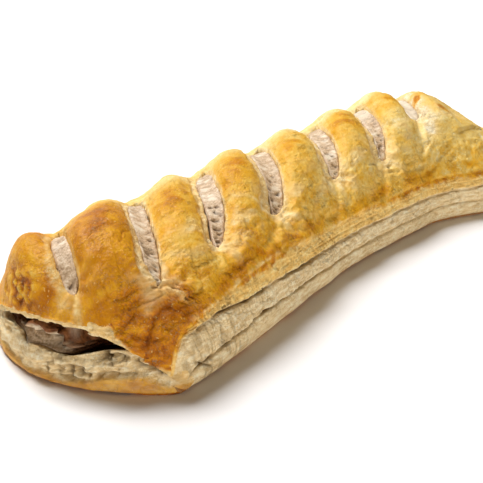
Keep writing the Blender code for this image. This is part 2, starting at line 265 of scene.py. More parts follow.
def cells(points, size, seed):
    """The distance to the nearest and second scattered seed, in cells, and the nearest one's number."""
    at = points / np.asarray(size, float)
    home = np.floor(at)
    nearest = second = np.full(points.shape[:-1], np.inf)
    number = np.zeros(points.shape[:-1])
    for step in itertools.product((-1, 0, 1), repeat=3):
        cell = home + np.array(step)
        spot = cell + stacked(*(hashed(cell, seed + axis) for axis in range(3)))
        far = np.linalg.norm(at - spot, axis=-1)
        closer = far < nearest
        second = np.where(closer, nearest, np.minimum(second, far))
        number = np.where(closer, hashed(cell, seed + NUMBER_SEED), number)
        nearest = np.where(closer, far, nearest)
    return nearest, second, number


def pits(points, spacing, seed, radius, rim, least):
    """Round pits at scattered seeds, in the cells whose number is above the least."""
    nearest, _, number = cells(points, spacing, seed)
    return smooth(rim - nearest / radius) * (number > least)


def sheet_edges(level, width):
    """1 along the edges of stacked sheets, which lie where the level is a whole number."""
    return 1 - smooth(abs(level - np.round(level)) / width)


# ---- the plain roll


def end_share(x, y):
    """0 at an end of the roll and 1 where the roll has its full section."""
    across = smooth((y + FOLD_REACH / 2) / (FOLD_REACH * 1.3))
    near = mixed(NEAR_TAPER_SEAM, NEAR_TAPER_FOLD, across)
    near = mixed(NEAR_TAPER_EDGE, near, rising(y, NEAR_EDGE_Y, NEAR_EDGE_BLEND))
    taper = np.where(x < 0, near, FAR_TAPER)
    inside = np.maximum(0.0, HALF - abs(x))
    return 1 - (1 - np.minimum(1.0, inside / taper)) ** TAPER_POWER


def bowed(x, y):
    """x moved back towards the middle where the ends curve round to their corners."""
    near_end = 1 - smooth((HALF - abs(x)) / BOW_LENGTH)
    across = np.minimum(abs(y), BOW_REACH) / FOLD_REACH
    return x - np.copysign(END_BOW * near_end * across**2, x)


def sheared(x, y):
    """x moved so that the stations follow the slashes across the top."""
    reach = np.clip(y, -SHEAR_REACH, SHEAR_REACH)
    return x + SLASH_SLANT * reach * smooth((HALF - abs(x)) / SHEAR_FADE)


def seam_reach(x):
    """The distance from the middle line to the foot of the cut edge."""
    splay = SEAM_SPLAY * (1 - bell(x, SEAM_WAIST_X, SEAM_WAIST_LENGTH))
    flare = FLARE * smooth((x - FLARE_START) / (FLARE_FULL - FLARE_START))
    kept = 1 - FLARE_LOSS * smooth((x - FLARE_FULL) / (HALF - FLARE_FULL))
    return SEAM_WAIST + splay + flare * kept


def seam_height(x):
    return SEAM_HEIGHT + SEAM_SWELL * bell(x, SEAM_SWELL_X, SEAM_SWELL_LENGTH)


def slash_slant(x):
    return SLASH_SLANT - FIRST_SLANT_LOSS * bell(x, -HALF, FIRST_SLANT_LENGTH)


def band_phase(x, y):
    """Whole numbers along the slashes, and halves along the middles of the bands between."""
    first, last = SLASH_CROSSINGS[0], SLASH_CROSSINGS[-1]
    knots = (2 * first - SLASH_CROSSINGS[1], *SLASH_CROSSINGS, 2 * last - SLASH_CROSSINGS[-2])
    return np.interp(x - slash_slant(x) * y, knots, np.arange(-1, len(knots) - 1))


def slash_line(i, y):
    """x along the middle of a slash, which bends back at its lower end, and its slope there."""
    below = np.maximum(0, SLASH_BEND_Y - y)
    slant = slash_slant(np.float64(SLASH_CROSSINGS[i]))
    return SLASH_CROSSINGS[i] + slant * y - SLASH_BEND * below**2, slant + 2 * SLASH_BEND * below


def far_drop(x, y):
    """1 where the far end's shoulder has sunk."""
    along = rising(x, FAR_DROP_X, FAR_DROP_LENGTH)
    return along * falling(y, FAR_DROP_Y, FAR_DROP_REACH)


def full_top(x, y):
    """The height of the top over (x, y) away from the ends."""
    fading = 1 - smooth((abs(y) - SWELL_FULL) / (SWELL_REACH - SWELL_FULL))
    swell = -BAND_SWELL * np.cos(2 * np.pi * band_phase(x, y)) * fading
    low = seam_height(x)
    share = unit(-y / (seam_reach(x) - SEAM_LEAN))
    seam_side = mixed(low, RIDGE_HEIGHT, 1 - share**SHOULDER_POWER)
    seam_side = seam_side - FAR_DROP * far_drop(x, y) * (1 - share**4)
    round_share = unit(y / FOLD_REACH)
    fold_side = mixed(FOLD_WIDEST_Z, RIDGE_HEIGHT, np.sqrt(1 - round_share**2))
    return np.where(y < 0, seam_side, fold_side) + swell


def lip_share(x):
    return np.where(x < 0, 1.0, FAR_LIP_SHARE)


def lip_top(x, y):
    """The height of the upper lip at the end nearest to x."""
    corner = seam_reach(np.copysign(HALF, x)) - SEAM_LEAN
    to_seam = np.maximum(0, LIP_Y - y) / (corner + LIP_Y)
    to_fold = np.maximum(0, y - LIP_Y) / (FOLD_REACH - LIP_Y)
    height = LIP_HEIGHT - LIP_DROP_SEAM * to_seam**LIP_POWER - LIP_DROP_FOLD * to_fold**2
    return height * lip_share(x)


def base_point(x, share):
    start = FOLD_REACH - FOLD_TUCK
    y = mixed(start, BASE_ROUNDING - seam_reach(x), share)
    return y, 0 * y, 0 * y


def seam_point(x, share):
    rounding = BASE_ROUNDING * (1 - np.sin(np.minimum(1.0, share * 4) * np.pi / 2))
    y = -seam_reach(x) + rounding + SEAM_LEAN * share**2
    return y, seam_height(x) * share, (LIP_HEIGHT - LIP_DROP_SEAM) * lip_share(x) * share


def top_point(x, share):
    y = (SEAM_LEAN - seam_reach(x)) * (1 - share)
    return y, full_top(x, y), lip_top(x, y)


def fold_point(x, share):
    y = FOLD_REACH * np.sin(np.pi / 2 * share)
    return y, full_top(x, y), lip_top(x, y)


def under_point(x, share):
    y = FOLD_REACH - FOLD_TUCK * (1 - np.cos(np.pi / 2 * share))
    height = 1 - np.sin(np.pi / 2 * share)
    return y + 0 * x, FOLD_WIDEST_Z * height + 0 * x, (LIP_HEIGHT - LIP_DROP_FOLD) * lip_share(x) * height


def roof(x, y):
    """The height of the underside of the top crust."""
    under = lip_top(x, y) - MOUTH_LIP
    return mixed(under, full_top(x, y) - CRUST, end_share(x, y))


def slash_distance(x, y):
    """The distance to the nearest slash's edge, negative inside it, with its number, the place
    along it from -1 at its tip towards the cut edge to 1, and the offset across it."""
    best = np.full(np.shape(x), np.inf)
    number = np.zeros(np.shape(x), int)
    place = np.zeros(np.shape(x))
    offset = np.zeros(np.shape(x))
    for i, width in enumerate(SLASH_WIDTHS):
        line, slant = slash_line(i, y)
        middle = (SLASH_FOLD_TIPS[i] + SLASH_SEAM_TIPS[i]) / 2
        reach = (SLASH_FOLD_TIPS[i] - SLASH_SEAM_TIPS[i]) / 2
        along = (y - middle) / reach
        dx = x - line - width * (1 - SLASH_VISIBLE) / 2
        half = width / 2 * SLASH_VISIBLE * (1 - 0.2 * smooth(-along))
        r = np.sqrt((dx / half) ** 2 + along**6) + 1e-6
        slope_x = dx / (half**2 * r)
        slope_y = 3 * along**5 / (reach * r) - slant * slope_x
        d = (r - 1) / (np.hypot(slope_x, slope_y) + 1e-6)
        closer = d < best
        best = np.where(closer, d, best)
        number = np.where(closer, i, number)
        place = np.where(closer, along, place)
        offset = np.where(closer, dx, offset)
    return best, number, place, offset


# ---- the pastry's outside

BASE, SEAM, TOP, FOLD, UNDER = range(5)


def groove_share(x, index):
    """How high one of the two long grooves runs, as a share of the cut edge's height."""
    rise = GROOVE_RISE * falling(x, GROOVE_RISE_X, GROOVE_RISE_LENGTH) if index else 0.0
    along = stacked(x, 0 * x, 0 * x)
    wander = 0.03 * noise(along, 17, 3 + index) + 0.016 * noise(along, 5, 5 + index)
    return LAYER_GROOVES[index] + rise + wander


def seam_shares(stations):
    """Shares of the cut edge's height, one row a station, crowded along its two grooves."""
    low, high = groove_share(stations, 0), groove_share(stations, 1)
    stops = [0 * low, low - GROOVE_SPREAD, low + GROOVE_SPREAD]
    stops += [high - GROOVE_SPREAD, high + GROOVE_SPREAD, 1 + 0 * low]
    counts = (BAND_LINES[0], GROOVE_LINES, BAND_LINES[1], GROOVE_LINES, BAND_LINES[2])
    rows = []
    for start, stop, count in zip(stops, stops[1:], counts):
        rows += [mixed(start, stop, i / count) for i in range(count)]
    return np.stack(rows + [stops[-1]], axis=1)


def outside_grid():
    """The plain roll as a grid: stations along it by lines round it."""
    even = np.linspace(0, 1, STATIONS)
    crowded = NEAR_CROWDING * even + (1 - NEAR_CROWDING) * even**2
    stations = (2 * crowded - 1) * (HALF + PAST_END)
    plan = (
        (BASE, base_point, np.arange(LINES_BASE) / LINES_BASE),
        (SEAM, seam_point, np.arange(LINES_SEAM) / (LINES_SEAM - 1)),
        (TOP, top_point, np.arange(1, LINES_TOP + 1) / LINES_TOP),
        (FOLD, fold_point, np.arange(1, LINES_FOLD + 1) / LINES_FOLD),
        (UNDER, under_point, np.arange(1, LINES_UNDER) / LINES_UNDER),
    )
    columns = []
    for part, place, shares in plan:
        x, share = np.meshgrid(stations, shares, indexing="ij")
        if part == SEAM:
            share = seam_shares(sheared(stations, -SHEAR_REACH))
        at = sheared(x, place(x, share)[0])
        y, full, end = place(at, share)
        z = mixed(end, full, end_share(at, y))
        columns.append(stacked(at, y, z, share, np.full_like(at, part)))
    return np.concatenate(columns, axis=1)


def grid_normals(points):
    """The outward direction at each point of a grid."""
    along = np.gradient(points, axis=0)
    round_it = np.roll(points, -1, axis=1) - np.roll(points, 1, axis=1)
    normal = np.cross(along, round_it)
    normal /= np.linalg.norm(normal, axis=-1, keepdims=True) + 1e-9
    return normal


def arc_from(points, line):
    """The distance round the roll from one of its lines."""
    steps = np.linalg.norm(np.diff(points, axis=1), axis=-1)
    run = np.concatenate([np.zeros((len(points), 1)), np.cumsum(steps, axis=1)], axis=1)
    return run - run[:, line : line + 1]


def per_lobe(values, phase):
    """A value for each band between the slashes, eased from one to the next."""
    lobe = np.clip(phase + 1, 0, len(values) - 0.5)
    border = np.round(lobe).astype(int)
    before = np.array(values)[np.clip(border - 1, 0, len(values) - 1)]
    after = np.array(values)[np.clip(border, 0, len(values) - 1)]
    return mixed(before, after, smooth((lobe - border) / 0.36 + 0.5))


def lobe_rise(x, y):
    """How far each band between the slashes is puffed up beyond the plain roll."""
    return per_lobe(LOBE_RISE, band_phase(x, y)) * end_share(x, y) * bell(y, 2, 15)


def outer_top(x, y):
    """The height of the crust over (x, y), its ends and bands taken in."""
    return mixed(lip_top(x, y), full_top(x, y), end_share(x, y)) + lobe_rise(x, y)


def flank_relief(x, share, plan):
    """How far the cut edge stands out or in, and how much painted shade each point gets for lying in a
    groove, crack or pore.
    """
    low, high = groove_share(x, 0), groove_share(x, 1)
    height = seam_height(x)
    along = plan * (1, 1, 0)
    relief = 0.45 * noise(along, 12, 21) + 0.2 * noise(along, 5, 22)
    band = np.where(share < low, 0, np.where(share < high, 1, 2))
    start = np.choose(band, (0 * low, low, high))
    stop = np.choose(band, (low, high, 1.04 + 0 * high))
    within = unit((share - start) / (stop - start))
    relief += np.choose(band, BAND_BULGE) * (1 - abs(2 * within - 1) ** 3)
    uneven = np.choose(band, BAND_UNEVEN) * 0.3 * noise(plan, (5, 5, 30), 23)
    relief += np.choose(band, BAND_OUT) + uneven

    # blocks with cracks between them, in the two upper bands
    cracks = np.zeros_like(x)
    wander = 2.6 * noise(plan, (6, 6, 2.4), 27)
    for index, length in enumerate(FLANK_BLOCKS, 1):
        run = (x + wander) / length + 0.31 * index
        block = np.floor(run)
        key = stacked(block, 0 * block + index, 0 * block)
        edge = np.minimum(run - block, 1 - (run - block)) * length
        crack = smooth(1.25 - edge / 0.3) * smooth(3 * hashed(key, 33) - 1.2)
        crack = crack * smooth(0.8 + 1.5 * noise(plan, (3, 3, 2), 34))
        relief += np.where(band == index, 0.4 * (hashed(key, 31) - 0.5) - 0.3 * crack, 0)
        cracks = np.maximum(cracks, np.where(band == index, crack, 0))

    # thin sheets inside each band
    thin = sheet_edges(share * height / FLANK_SHEET + 0.7 * noise(plan, (8, 8, 4), 37), 0.2)
    torn = smooth(0.4 + 1.3 * noise(plan, (5, 5, 1.6), 41)) * np.choose(band, BAND_TORN)
    relief -= 0.22 * thin * torn
    relief += np.choose(band, BAND_ROUGH) * noise(plan, (1.1, 1.1, 0.8), 43)

    # the two long grooves, and a short one by the near corner, with painted shade in them, along the
    # sheets' torn edges and in the cracks
    hollow = 0.3 * thin * torn + 0.3 * cracks
    short = 0.62 - 0.045 * (x + HALF)
    ragged = 1 + 0.6 * noise(plan, (2.6, 2.6, 3), 47)
    opening = 0.5 + 0.5 * smooth(0.6 + 1.4 * noise(along, 7, 51))
    fading = mixed(1.0, 0.55, rising(x, -30, 60))
    for centre, width, depth, there in (
        (low, 0.2, 0.8, 1),
        (high, 0.24, 0.9, rising(x, -94, 4)),
        (short, 0.22, 0.8 * falling(x, -89, 3) * rising(x, -98, 2), 1),
        ((1 + high) / 2, 0.16, 0.4 * smooth(noise(along, 14, 49) * 4), 1),
        (low / 2, 0.14, 0.3 * smooth(noise(along, 16, 50) * 4 - 0.4), 1),
    ):
        far = abs(share - centre) * height
        cut = smooth(1.6 - far / np.maximum(0.12, width * ragged)) * (opening * there * fading)
        relief -= depth * cut
        hollow = np.maximum(hollow, cut * smooth(depth / 0.9) * mixed(1.0, 0.6, rising(x, -60, 50)))

    # pores beside the grooves, with painted shade in them
    beside = bell(share, high + 0.035, 0.07) + 0.7 * bell(share, low + 0.03, 0.05)
    pore = pits(plan, (1.5, 1.5, 1.1), 57, 0.36, 1.35, 0.45)
    pore = pore * unit(beside) * smooth(0.7 + noise(along, 9, 59))
    relief -= 0.4 * pore
    hollow = np.maximum(hollow, 0.9 * pore)
    return relief, unit(hollow)


def terraces(field, steps):
    """A smooth field as flat plates with short slopes between: its level, where the slopes are,
    the upper side of each slope, and a number for each plate."""
    level = np.floor(field * steps)
    inside = field * steps - level
    plates = (level + smooth((inside - 0.5) / 0.24 + 0.5)) / steps
    slope = 1 - smooth(abs(inside - 0.5) / 0.22)
    upper = bell(inside, 0.68, 0.12)
    key = stacked(level, 0 * level, 0 * level)
    return plates, slope, upper, hashed(key, NUMBER_SEED)


def segment_distance(x, y, start, stop):
    """The distance from each point to a straight line between two points."""
    run, rise = stop[0] - start[0], stop[1] - start[1]
    share = ((x - start[0]) * run + (y - start[1]) * rise) / (run**2 + rise**2)
    share = unit(share)
    return np.hypot(x - start[0] - share * run, y - start[1] - share * rise)


def crust_places():
    """The plain roll's points, with what the crust's relief and colours are worked out from."""
    x, y, z, share, part = np.moveaxis(outside_grid(), -1, 0)
    c = SimpleNamespace(x=x, y=y, z=z, share=share, part=part)
    c.points = stacked(bowed(x, y), y, z)
    c.arc = arc_from(c.points, LINES_BASE + LINES_SEAM - 1)
    c.plan = stacked(x, y, z)
    c.lengthways = c.plan * (1, 0, 0)
    c.swirled = c.plan + 3.0 * stacked(noise(c.plan, 11, 58), noise(c.plan, 11, 59), 0 * x)
    c.on_top = np.where(part == TOP, 1.0, 0.0) + (part == FOLD) * rising(z, 10, 6)
    c.on_fold = ((part == FOLD) | (part == UNDER)) * 1.0
    c.on_seam = (part == SEAM) * 1.0
    c.phase = band_phase(x, y)
    gap, c.number, c.place, offset = slash_distance(x, y)
    c.gap = gap + 0.25 * noise(c.plan, 3.1, 61) + 0.13 * noise(c.plan, 1.1, 62)
    c.near_slash = c.on_top * (abs(y) < SLASH_ZONE)
    c.left_side = smooth(0.5 - offset / 2.4)
    return c


def puff_bands(c):
    """Uneven bands that fall away to the slashes, with a shelf of dough on each slash's left."""
    x, y, plan, gap, near_slash, left_side = c.x, c.y, c.plan, c.gap, c.near_slash, c.left_side
    c.lift = c.on_top * (0.4 * noise(plan, 21, 63) + 0.42 * noise(plan, 8, 64))
    c.lift += c.on_top * lobe_rise(x, y)
    slope_in = smooth(1 - gap / mixed(1.4, 5.5, left_side))
    hollowed = mixed(0.4, mixed(0.2, 0.5, rising(x, -93, 10)), left_side)
    beside = rising(c.place, -1.15, 0.3) * falling(c.place, 1.25, 0.25)
    shelf_width = np.where(c.number < 3, 2.3, 3.2) + 0.7 * noise(plan, 2.6, 71)
    c.shelf = near_slash * left_side * beside * smooth((shelf_width - gap) / 1.1)
    c.lift -= 0.7 * c.shelf * mixed(0.4, 1.0, rising(x, -95, 10))
    c.lift += near_slash * (0.25 * bell(gap, 3.8, 2.2) * (1 - left_side) - slope_in * hollowed)
    from_cut = abs(c.phase - np.round(c.phase))
    squared = rising(gap, 0.6, 2.2) * (1 - rising(from_cut, 0.2, 0.22)) * falling(y, 8, 10)
    c.lift += near_slash * 0.7 * squared * (1 - left_side)


def lay_flakes(c):
    """Flaky plates and creases, strongest on the shoulder above the cut edge."""
    plan, swirled, on_top, arc = c.plan, c.swirled, c.on_top, c.arc
    c.shoulder = on_top * smooth(arc / 1.2) * (1 - rising(arc, 9, 7))
    field = noise(swirled, (7, 4.2, 4.2), 75) + 0.45 * noise(swirled, (2.8, 1.7, 1.7), 76)
    plates, c.slope, c.upper, c.plate_number = terraces(field, 3.2)
    c.flaky = on_top * (0.4 + 0.6 * c.shoulder)
    c.lift += 0.8 * c.flaky * (plates - field * 0.6)
    c.ridged = 1 - 2 * abs(noise(swirled, (6.5, 2.6, 2.6), 65))
    c.lift += c.shoulder * 0.42 * (c.ridged - 0.3)
    c.lift += c.shoulder * 0.2 * noise(plan, (2, 1.2, 1.2), 66)
    crust_edge = 1.2 + 0.9 * noise(c.lengthways, 6, 67)
    c.lift += on_top * 0.4 * bell(arc, crust_edge, 1.2) * smooth(0.7 + noise(c.lengthways, 8, 68))
    crease = abs(noise(swirled, (7, 5, 5), 69))
    creased = smooth(1.3 - crease / 0.045) * smooth(2.4 * noise(plan, 12, 70)) * on_top
    c.creased = creased * (1 - rising(c.x, 62, 10))
    c.lift -= 0.28 * c.creased
    c.lift += on_top * 0.08 * noise(plan, 1.3, 73)


def work_near_corner(c):
    """Blisters on the first band, and the ridge, crease and wrinkles of the corner by the mouth."""
    x, y, plan, on_top = c.x, c.y, c.plan, c.on_top
    around = 1.3 * bell(x, BLISTERS[0], 4.2) * bell(y, BLISTERS[1], 5.5) * bell(c.z, 18, 5)
    c.blister_zone = on_top * unit(around)
    c.blister = smooth(1.2 - cells(plan, (2.1, 1.7, 1.7), 77)[0] / 0.62)
    c.crumb_pit = pits(plan, (1.5, 1.3, 1.3), 83, 0.4, 1.3, 0.55)
    c.lift += c.blister_zone * (0.85 * c.blister - 0.3 - 0.35 * c.crumb_pit)
    c.to_corner = on_top * falling(x, -80, 8)
    ridge = c.to_corner * bell(c.arc, 2.6 + 1.2 * falling(x, -90, 8), 1.7)
    c.lift += 0.4 * ridge * (1 + 1.2 * noise(plan, 3, 84))
    c.fold_crease = on_top * falling(x, -90, 4) * bell(c.arc, 6.4, 0.75)
    c.lift -= 0.7 * c.fold_crease
    c.crinkle = on_top * falling(x, -82, 8) * falling(y, -11, 5)
    c.wrinkle = 1 - 2 * abs(noise(c.swirled, (3.6, 2.2, 2.2), 78))
    c.lift += c.crinkle * 0.6 * c.wrinkle


def pucker_tips(c):
    """The pucker of dough below each slash, and the groove that runs on to the lip."""
    c.pucker = np.zeros_like(c.x)
    for i, tip in enumerate(SLASH_SEAM_TIPS):
        tip_x = slash_line(i, np.float64(tip))[0] + 1.0
        dx, dy = c.x - tip_x, (c.y - tip) * 1.25
        r = np.hypot(dx, dy)
        rays = np.cos(5 * np.arctan2(dy, dx) + 1.3 * i + 0.8 * noise(c.plan, 4, 79))
        c.lift += c.on_top * 0.3 * rays * bell(r, 3.2, 2.0)
        around = bell(r, 1.6, 2.2) + 0.7 * bell(r, 4.2, 2.3) * smooth(0.25 + 0.8 * rays)
        around = around * (0.1, 0.6, 1.0)[min(i, 2)]
        c.pucker = np.maximum(c.pucker, c.on_top * unit(around))
    c.run_on = c.on_top * bell(segment_distance(c.x, c.y, *TIP_GROOVE), 0, 0.8)
    c.lift -= 0.35 * c.run_on


def shape_sides(c):
    """The layers of the cut edge, and the fold side with the wrinkles of a rolled sheet."""
    flank, c.flank_hollow = flank_relief(c.x, c.share, c.plan)
    c.lift += c.on_seam * flank * smooth(c.share * 9) * (0.35 + 0.65 * smooth((HALF - abs(c.x)) / 5))
    c.lift -= c.on_seam * 2.4 * falling(c.z, 0.9, 0.9) ** 2
    c.lift += c.on_fold * 0.3 * noise(c.plan, (16, 8, 5), 81)
    c.lift += c.on_fold * 0.16 * noise(c.plan, (7, 3, 2.4), 82)


def brownness(c):
    """How brown the crust is, from 0 to 1."""
    x, y, z, plan, swirled, on_top = c.x, c.y, c.z, c.plan, c.swirled, c.on_top
    from_left = c.phase - np.floor(c.phase)
    patch = bell(y, -0.5, 5.0) * bell(from_left, 0.44, 0.22)
    baked = per_lobe(LOBE_BAKE, c.phase) + 0.28 * patch * smooth(0.55 + 1.4 * noise(plan, 5, 90))
    baked += 0.1 * noise(swirled, 8, 91) + 0.07 * noise(swirled, (4, 2.4, 2.4), 92)
    line = bell(c.arc, 2.4 + 1.6 * noise(c.lengthways, 9, 93), 1.9) * smooth(0.75 + noise(plan, 5, 94))
    baked += mixed(0.08, 0.2, rising(x, -84, 12)) * line + 0.1 * c.creased
    baked += 0.07 * (c.ridged - 0.4) * c.shoulder
    # each plate's number gives it its own brownness; the slopes are painted darker and their upper edges
    # paler, a painted shade and highlight at each step
    baked += c.flaky * (0.12 * (c.plate_number - 0.5) + 0.1 * c.slope - 0.08 * c.upper)
    baked += 0.08 * c.to_corner * (1 - rising(c.arc, 7, 6)) + 0.12 * c.fold_crease
    baked += c.crinkle * (0.1 - 0.09 * c.wrinkle)
    baked += c.blister_zone * (0.3 - 0.75 * c.blister + 0.4 * c.crumb_pit)
    baked += 0.26 * on_top * bell(np.hypot(x - BROWN_DAB[0], y - BROWN_DAB[1]), 0, 2.4)
    ragged = 0.8 * noise(plan, 2.2, 88)
    spots = np.zeros_like(x)
    for spot_x, spot_y, flattening, size in DARK_SPOTS:
        away = np.hypot(x - spot_x, (y - spot_y) * flattening)
        spots = np.maximum(spots, smooth(1.6 - away / size + ragged))
    c.spots = spots * on_top
    baked += 0.42 * c.spots
    # towards the fold the top is painted paler, a painted highlight along the roll's top edge
    c.high_up = rising(y, 3, 9) * rising(x, -88, 8) * rising(z, 7, 14)
    baked -= 0.2 * c.high_up + 0.05 * bell(y, -15, 7) * rising(x, -20, 20) * falling(x, 60, 10)
    dark_fold = 0.5 + 0.1 * noise(plan, 10, 95)
    folded = 0.56 + 0.24 * noise(plan, (2.2, 2.2, 4.5), 87) + 0.12 * noise(plan, (1, 1, 2.4), 85)
    bake = np.where(on_top > 0, baked, folded)
    bake = mixed(bake, dark_fold, c.on_fold * rising(y, 17, 7))
    bake = np.where(c.part == BASE, UNDERSIDE_BAKE, bake)
    return mixed(bake, UNDERSIDE_BAKE, c.on_seam * falling(z, 1.2, 0.8))


def crust_colours(c):
    """How brown each point is, where the dough is pale, as on the cut layers, the slashes' rims and
    the puckers below them, how yellow it is there, and the painted shade in its hollows, with dark streaks."""
    x, y, z, plan, part, on_top, on_seam = c.x, c.y, c.z, c.plan, c.part, c.on_top, c.on_seam
    bake = brownness(c)
    edge = -1.7 * rising(x, -15, 40) + 0.7 * noise(c.lengthways, 4.5, 96)
    gold = smooth((c.arc - edge) / 1.3 + 0.7 * noise(plan, 1.4, 97) + 0.1)
    gold = np.maximum(gold, on_top * falling(x, -89, 4))
    border = np.interp(x, *zip(*TONGUE_FOOT))
    border = border + 1.3 * np.clip(-25.8 - y, 0, 2.2) * falling(x, -90, 4)
    tongue = smooth((z - border) / 0.9 + 0.9 * noise(plan, (1.6, 1.6, 1.1), 99) + 0.2)
    gold = np.maximum(gold, on_seam * tongue)

    first = c.number == 0
    low_tip = falling(c.place, -0.55, 0.4)
    rim_width = mixed(0.5, np.where(first, 1.0, 1.8), c.left_side)
    rim_width = rim_width + 0.9 * low_tip * (1 - first) + 0.6 * c.high_up
    rim = c.near_slash * smooth(1.15 - np.maximum(c.gap, 0) / rim_width)
    rim = np.maximum(rim, c.shelf) * (0.9 + 0.35 * noise(plan, (3, 3, 3), 98)) * (1 - 0.3 * first)
    smear = smooth(1.9 * noise(c.swirled, (7, 3.2, 3.2), 100) + 0.15)
    creamy = bell(y, -14, 4.5) * smear * rising(x, -84, 14)
    far_pale = bell(x - SLASH_SLANT * y, 64.5, 4.6) * rising(y, -21, 5) * falling(y, 9, 5)
    far_pale = unit(far_pale * (1.15 + 0.8 * noise(plan, 4, 89))) * (1 - c.spots)
    soft = most(0.9 * rim, 0.85 * c.pucker, 0.85 * creamy, 0.75 * c.run_on, far_pale, 0.45 * c.high_up)
    soft = soft * (1 - 0.8 * c.spots)
    pale = np.where(part == SEAM, 1 - gold, 0.0)
    pale = np.where(on_top > 0, np.maximum(1 - gold, soft), pale)
    pale = np.where(on_seam * falling(z, 1.2, 0.8) > 0.5, 0.2, pale)

    above = smooth((c.share - groove_share(x, 1)) / 0.06)
    yellow = np.where(part == SEAM, 0.12 + 0.88 * above, 0.8)
    rimmed = mixed(yellow, np.where(first, 0.9, 0.5), np.maximum(rim, c.run_on))
    yellow = np.where(on_top > 0, mixed(rimmed, 0.1, far_pale), yellow)

    # painted shade in the cut edge's layers and inside the slashes, with dark streaks of the dough itself
    # near the near corner
    in_layers = on_seam * c.flank_hollow * (1 - 0.6 * tongue)
    in_slash = c.near_slash * falling(c.gap, -0.35, 0.5) * 0.12
    streaks = smooth(2.4 * noise(plan, (1.3, 1.3, 5), 84) + 0.3) * falling(x, -66, 12)
    hollow = most(in_layers, in_slash, 0.5 * on_seam * (1 - tongue) * streaks)
    return {"bake": bake, "pale": unit(pale), "yellow": yellow, "hollow": hollow}


def pastry_outside():
    """The displaced outside of the pastry with its colour fields."""
    c = crust_places()
    puff_bands(c)
    lay_flakes(c)
    work_near_corner(c)
    pucker_tips(c)
    shape_sides(c)
    shaped = c.points + grid_normals(c.points) * c.lift[..., None]

    # each slash is cut right through to the meat, and the base stays flat
    cut = c.near_slash * falling(c.gap, 0.1, 0.5)
    floor = roof(c.x, c.y) - SLASH_DEPTH - SLASH_TIP_DEPTH * falling(c.y, -12, 6)
    shaped[..., 2] = mixed(shaped[..., 2], np.minimum(floor, shaped[..., 2]), cut)
    shaped[..., 2] = np.where(c.z < 1e-6, 0.0, np.maximum(0.0, shaped[..., 2]))
    return shaped, crust_colours(c)


# ---- meshes

PASTRY_FIELDS = ("bake", "pale", "yellow", "hollow")


def closed_loft(rings, caps):
    """The points and faces of a closed loft, its two ends closed by the cap function."""
    stations, lines = rings.shape[:2]
    i, j = np.meshgrid(np.arange(stations - 1), np.arange(lines), indexing="ij")
    k = (j + 1) % lines
    faces = stacked(i * lines + j, i * lines + k, (i + 1) * lines + k, (i + 1) * lines + j)
    faces = [tuple(f) for f in faces.reshape(-1, 4)]
    faces += caps(0, lines, False) + caps((stations - 1) * lines, lines, True)
    return rings.reshape(-1, 3), faces


def ladder(start, lines, flip):
    """Closes a ring whose first and last points face each other, and so on inwards."""
    rungs = []
    for i in range(lines // 2 - 1):
        face = (start + i, start + i + 1, start + lines - i - 2, start + lines - i - 1)
        rungs.append(face if flip else face[::-1])
    return rungs


def single(start, lines, flip):
    """Closes a ring with one face."""
    face = tuple(range(start, start + lines))
    return [face if flip else face[::-1]]


def add_mesh(name, points, faces, fields=None):
    """A mesh object from millimetres, with its fields as point attributes."""
    points = np.asarray(points, float) + (0, FOLD_SHIFT, 0)
    mesh = bpy.data.meshes.new(name)
    mesh.from_pydata((points * MM).tolist(), [], faces)
    mesh.update()
    for key, values in (fields or {}).items():
        attribute = mesh.attributes.new(key, "FLOAT", "POINT")
        attribute.data.foreach_set("value", np.asarray(values, np.float32).reshape(-1))
    made = bpy.data.objects.new(name, mesh)
    bpy.context.scene.collection.objects.link(made)
    return made


def add_solid(name, points, faces, fields):
    """A closed mesh object whose faces look outwards."""
    made = add_mesh(name, points, faces, fields)
    shape = bmesh.new()
    shape.from_mesh(made.data)
    if shape.calc_volume(signed=True) < 0:
        made.data.flip_normals()
    shape.free()
    return made


def fill_gaps(mesh):
    """Gives the vertices that a Boolean made new the mean field values of their neighbours."""
    ends = np.empty(2 * len(mesh.edges), int)
    mesh.edges.foreach_get("vertices", ends)
    a, b = ends.reshape(-1, 2).T
    count = len(mesh.vertices)
    values = {}
    for key in PASTRY_FIELDS:
        values[key] = np.empty(count, np.float32)
        mesh.attributes[key].data.foreach_get("value", values[key])
    known = values["bake"] > 0
    for _ in range(GAP_ROUNDS):
        near = np.bincount(a, known[b], count) + np.bincount(b, known[a], count)
        filled = ~known & (near > 0)
        for key in PASTRY_FIELDS:
            field = values[key]
            total = np.bincount(a, field[b] * known[b], count)
            total += np.bincount(b, field[a] * known[a], count)
            field[filled] = total[filled] / near[filled]
        known = known | filled
    for key in PASTRY_FIELDS:
        mesh.attributes[key].data.foreach_set("value", values[key])


def carved(target, cutters, name):
    """target with the cutters taken away, as one new object; the cutters are removed."""
    for cutter in cutters:
        modifier = target.modifiers.new(cutter.name, "BOOLEAN")
        modifier.operation = "DIFFERENCE"
        modifier.solver = "MANIFOLD"
        modifier.object = cutter
    bpy.context.view_layer.update()
    evaluated = target.evaluated_get(bpy.context.evaluated_depsgraph_get())
    mesh = bpy.data.meshes.new_from_object(evaluated)
    mesh.name = name
    fill_gaps(mesh)
    made = bpy.data.objects.new(name, mesh)
    bpy.context.scene.collection.objects.link(made)
    for old in [target] + cutters:
        bpy.data.objects.remove(old)
    return made


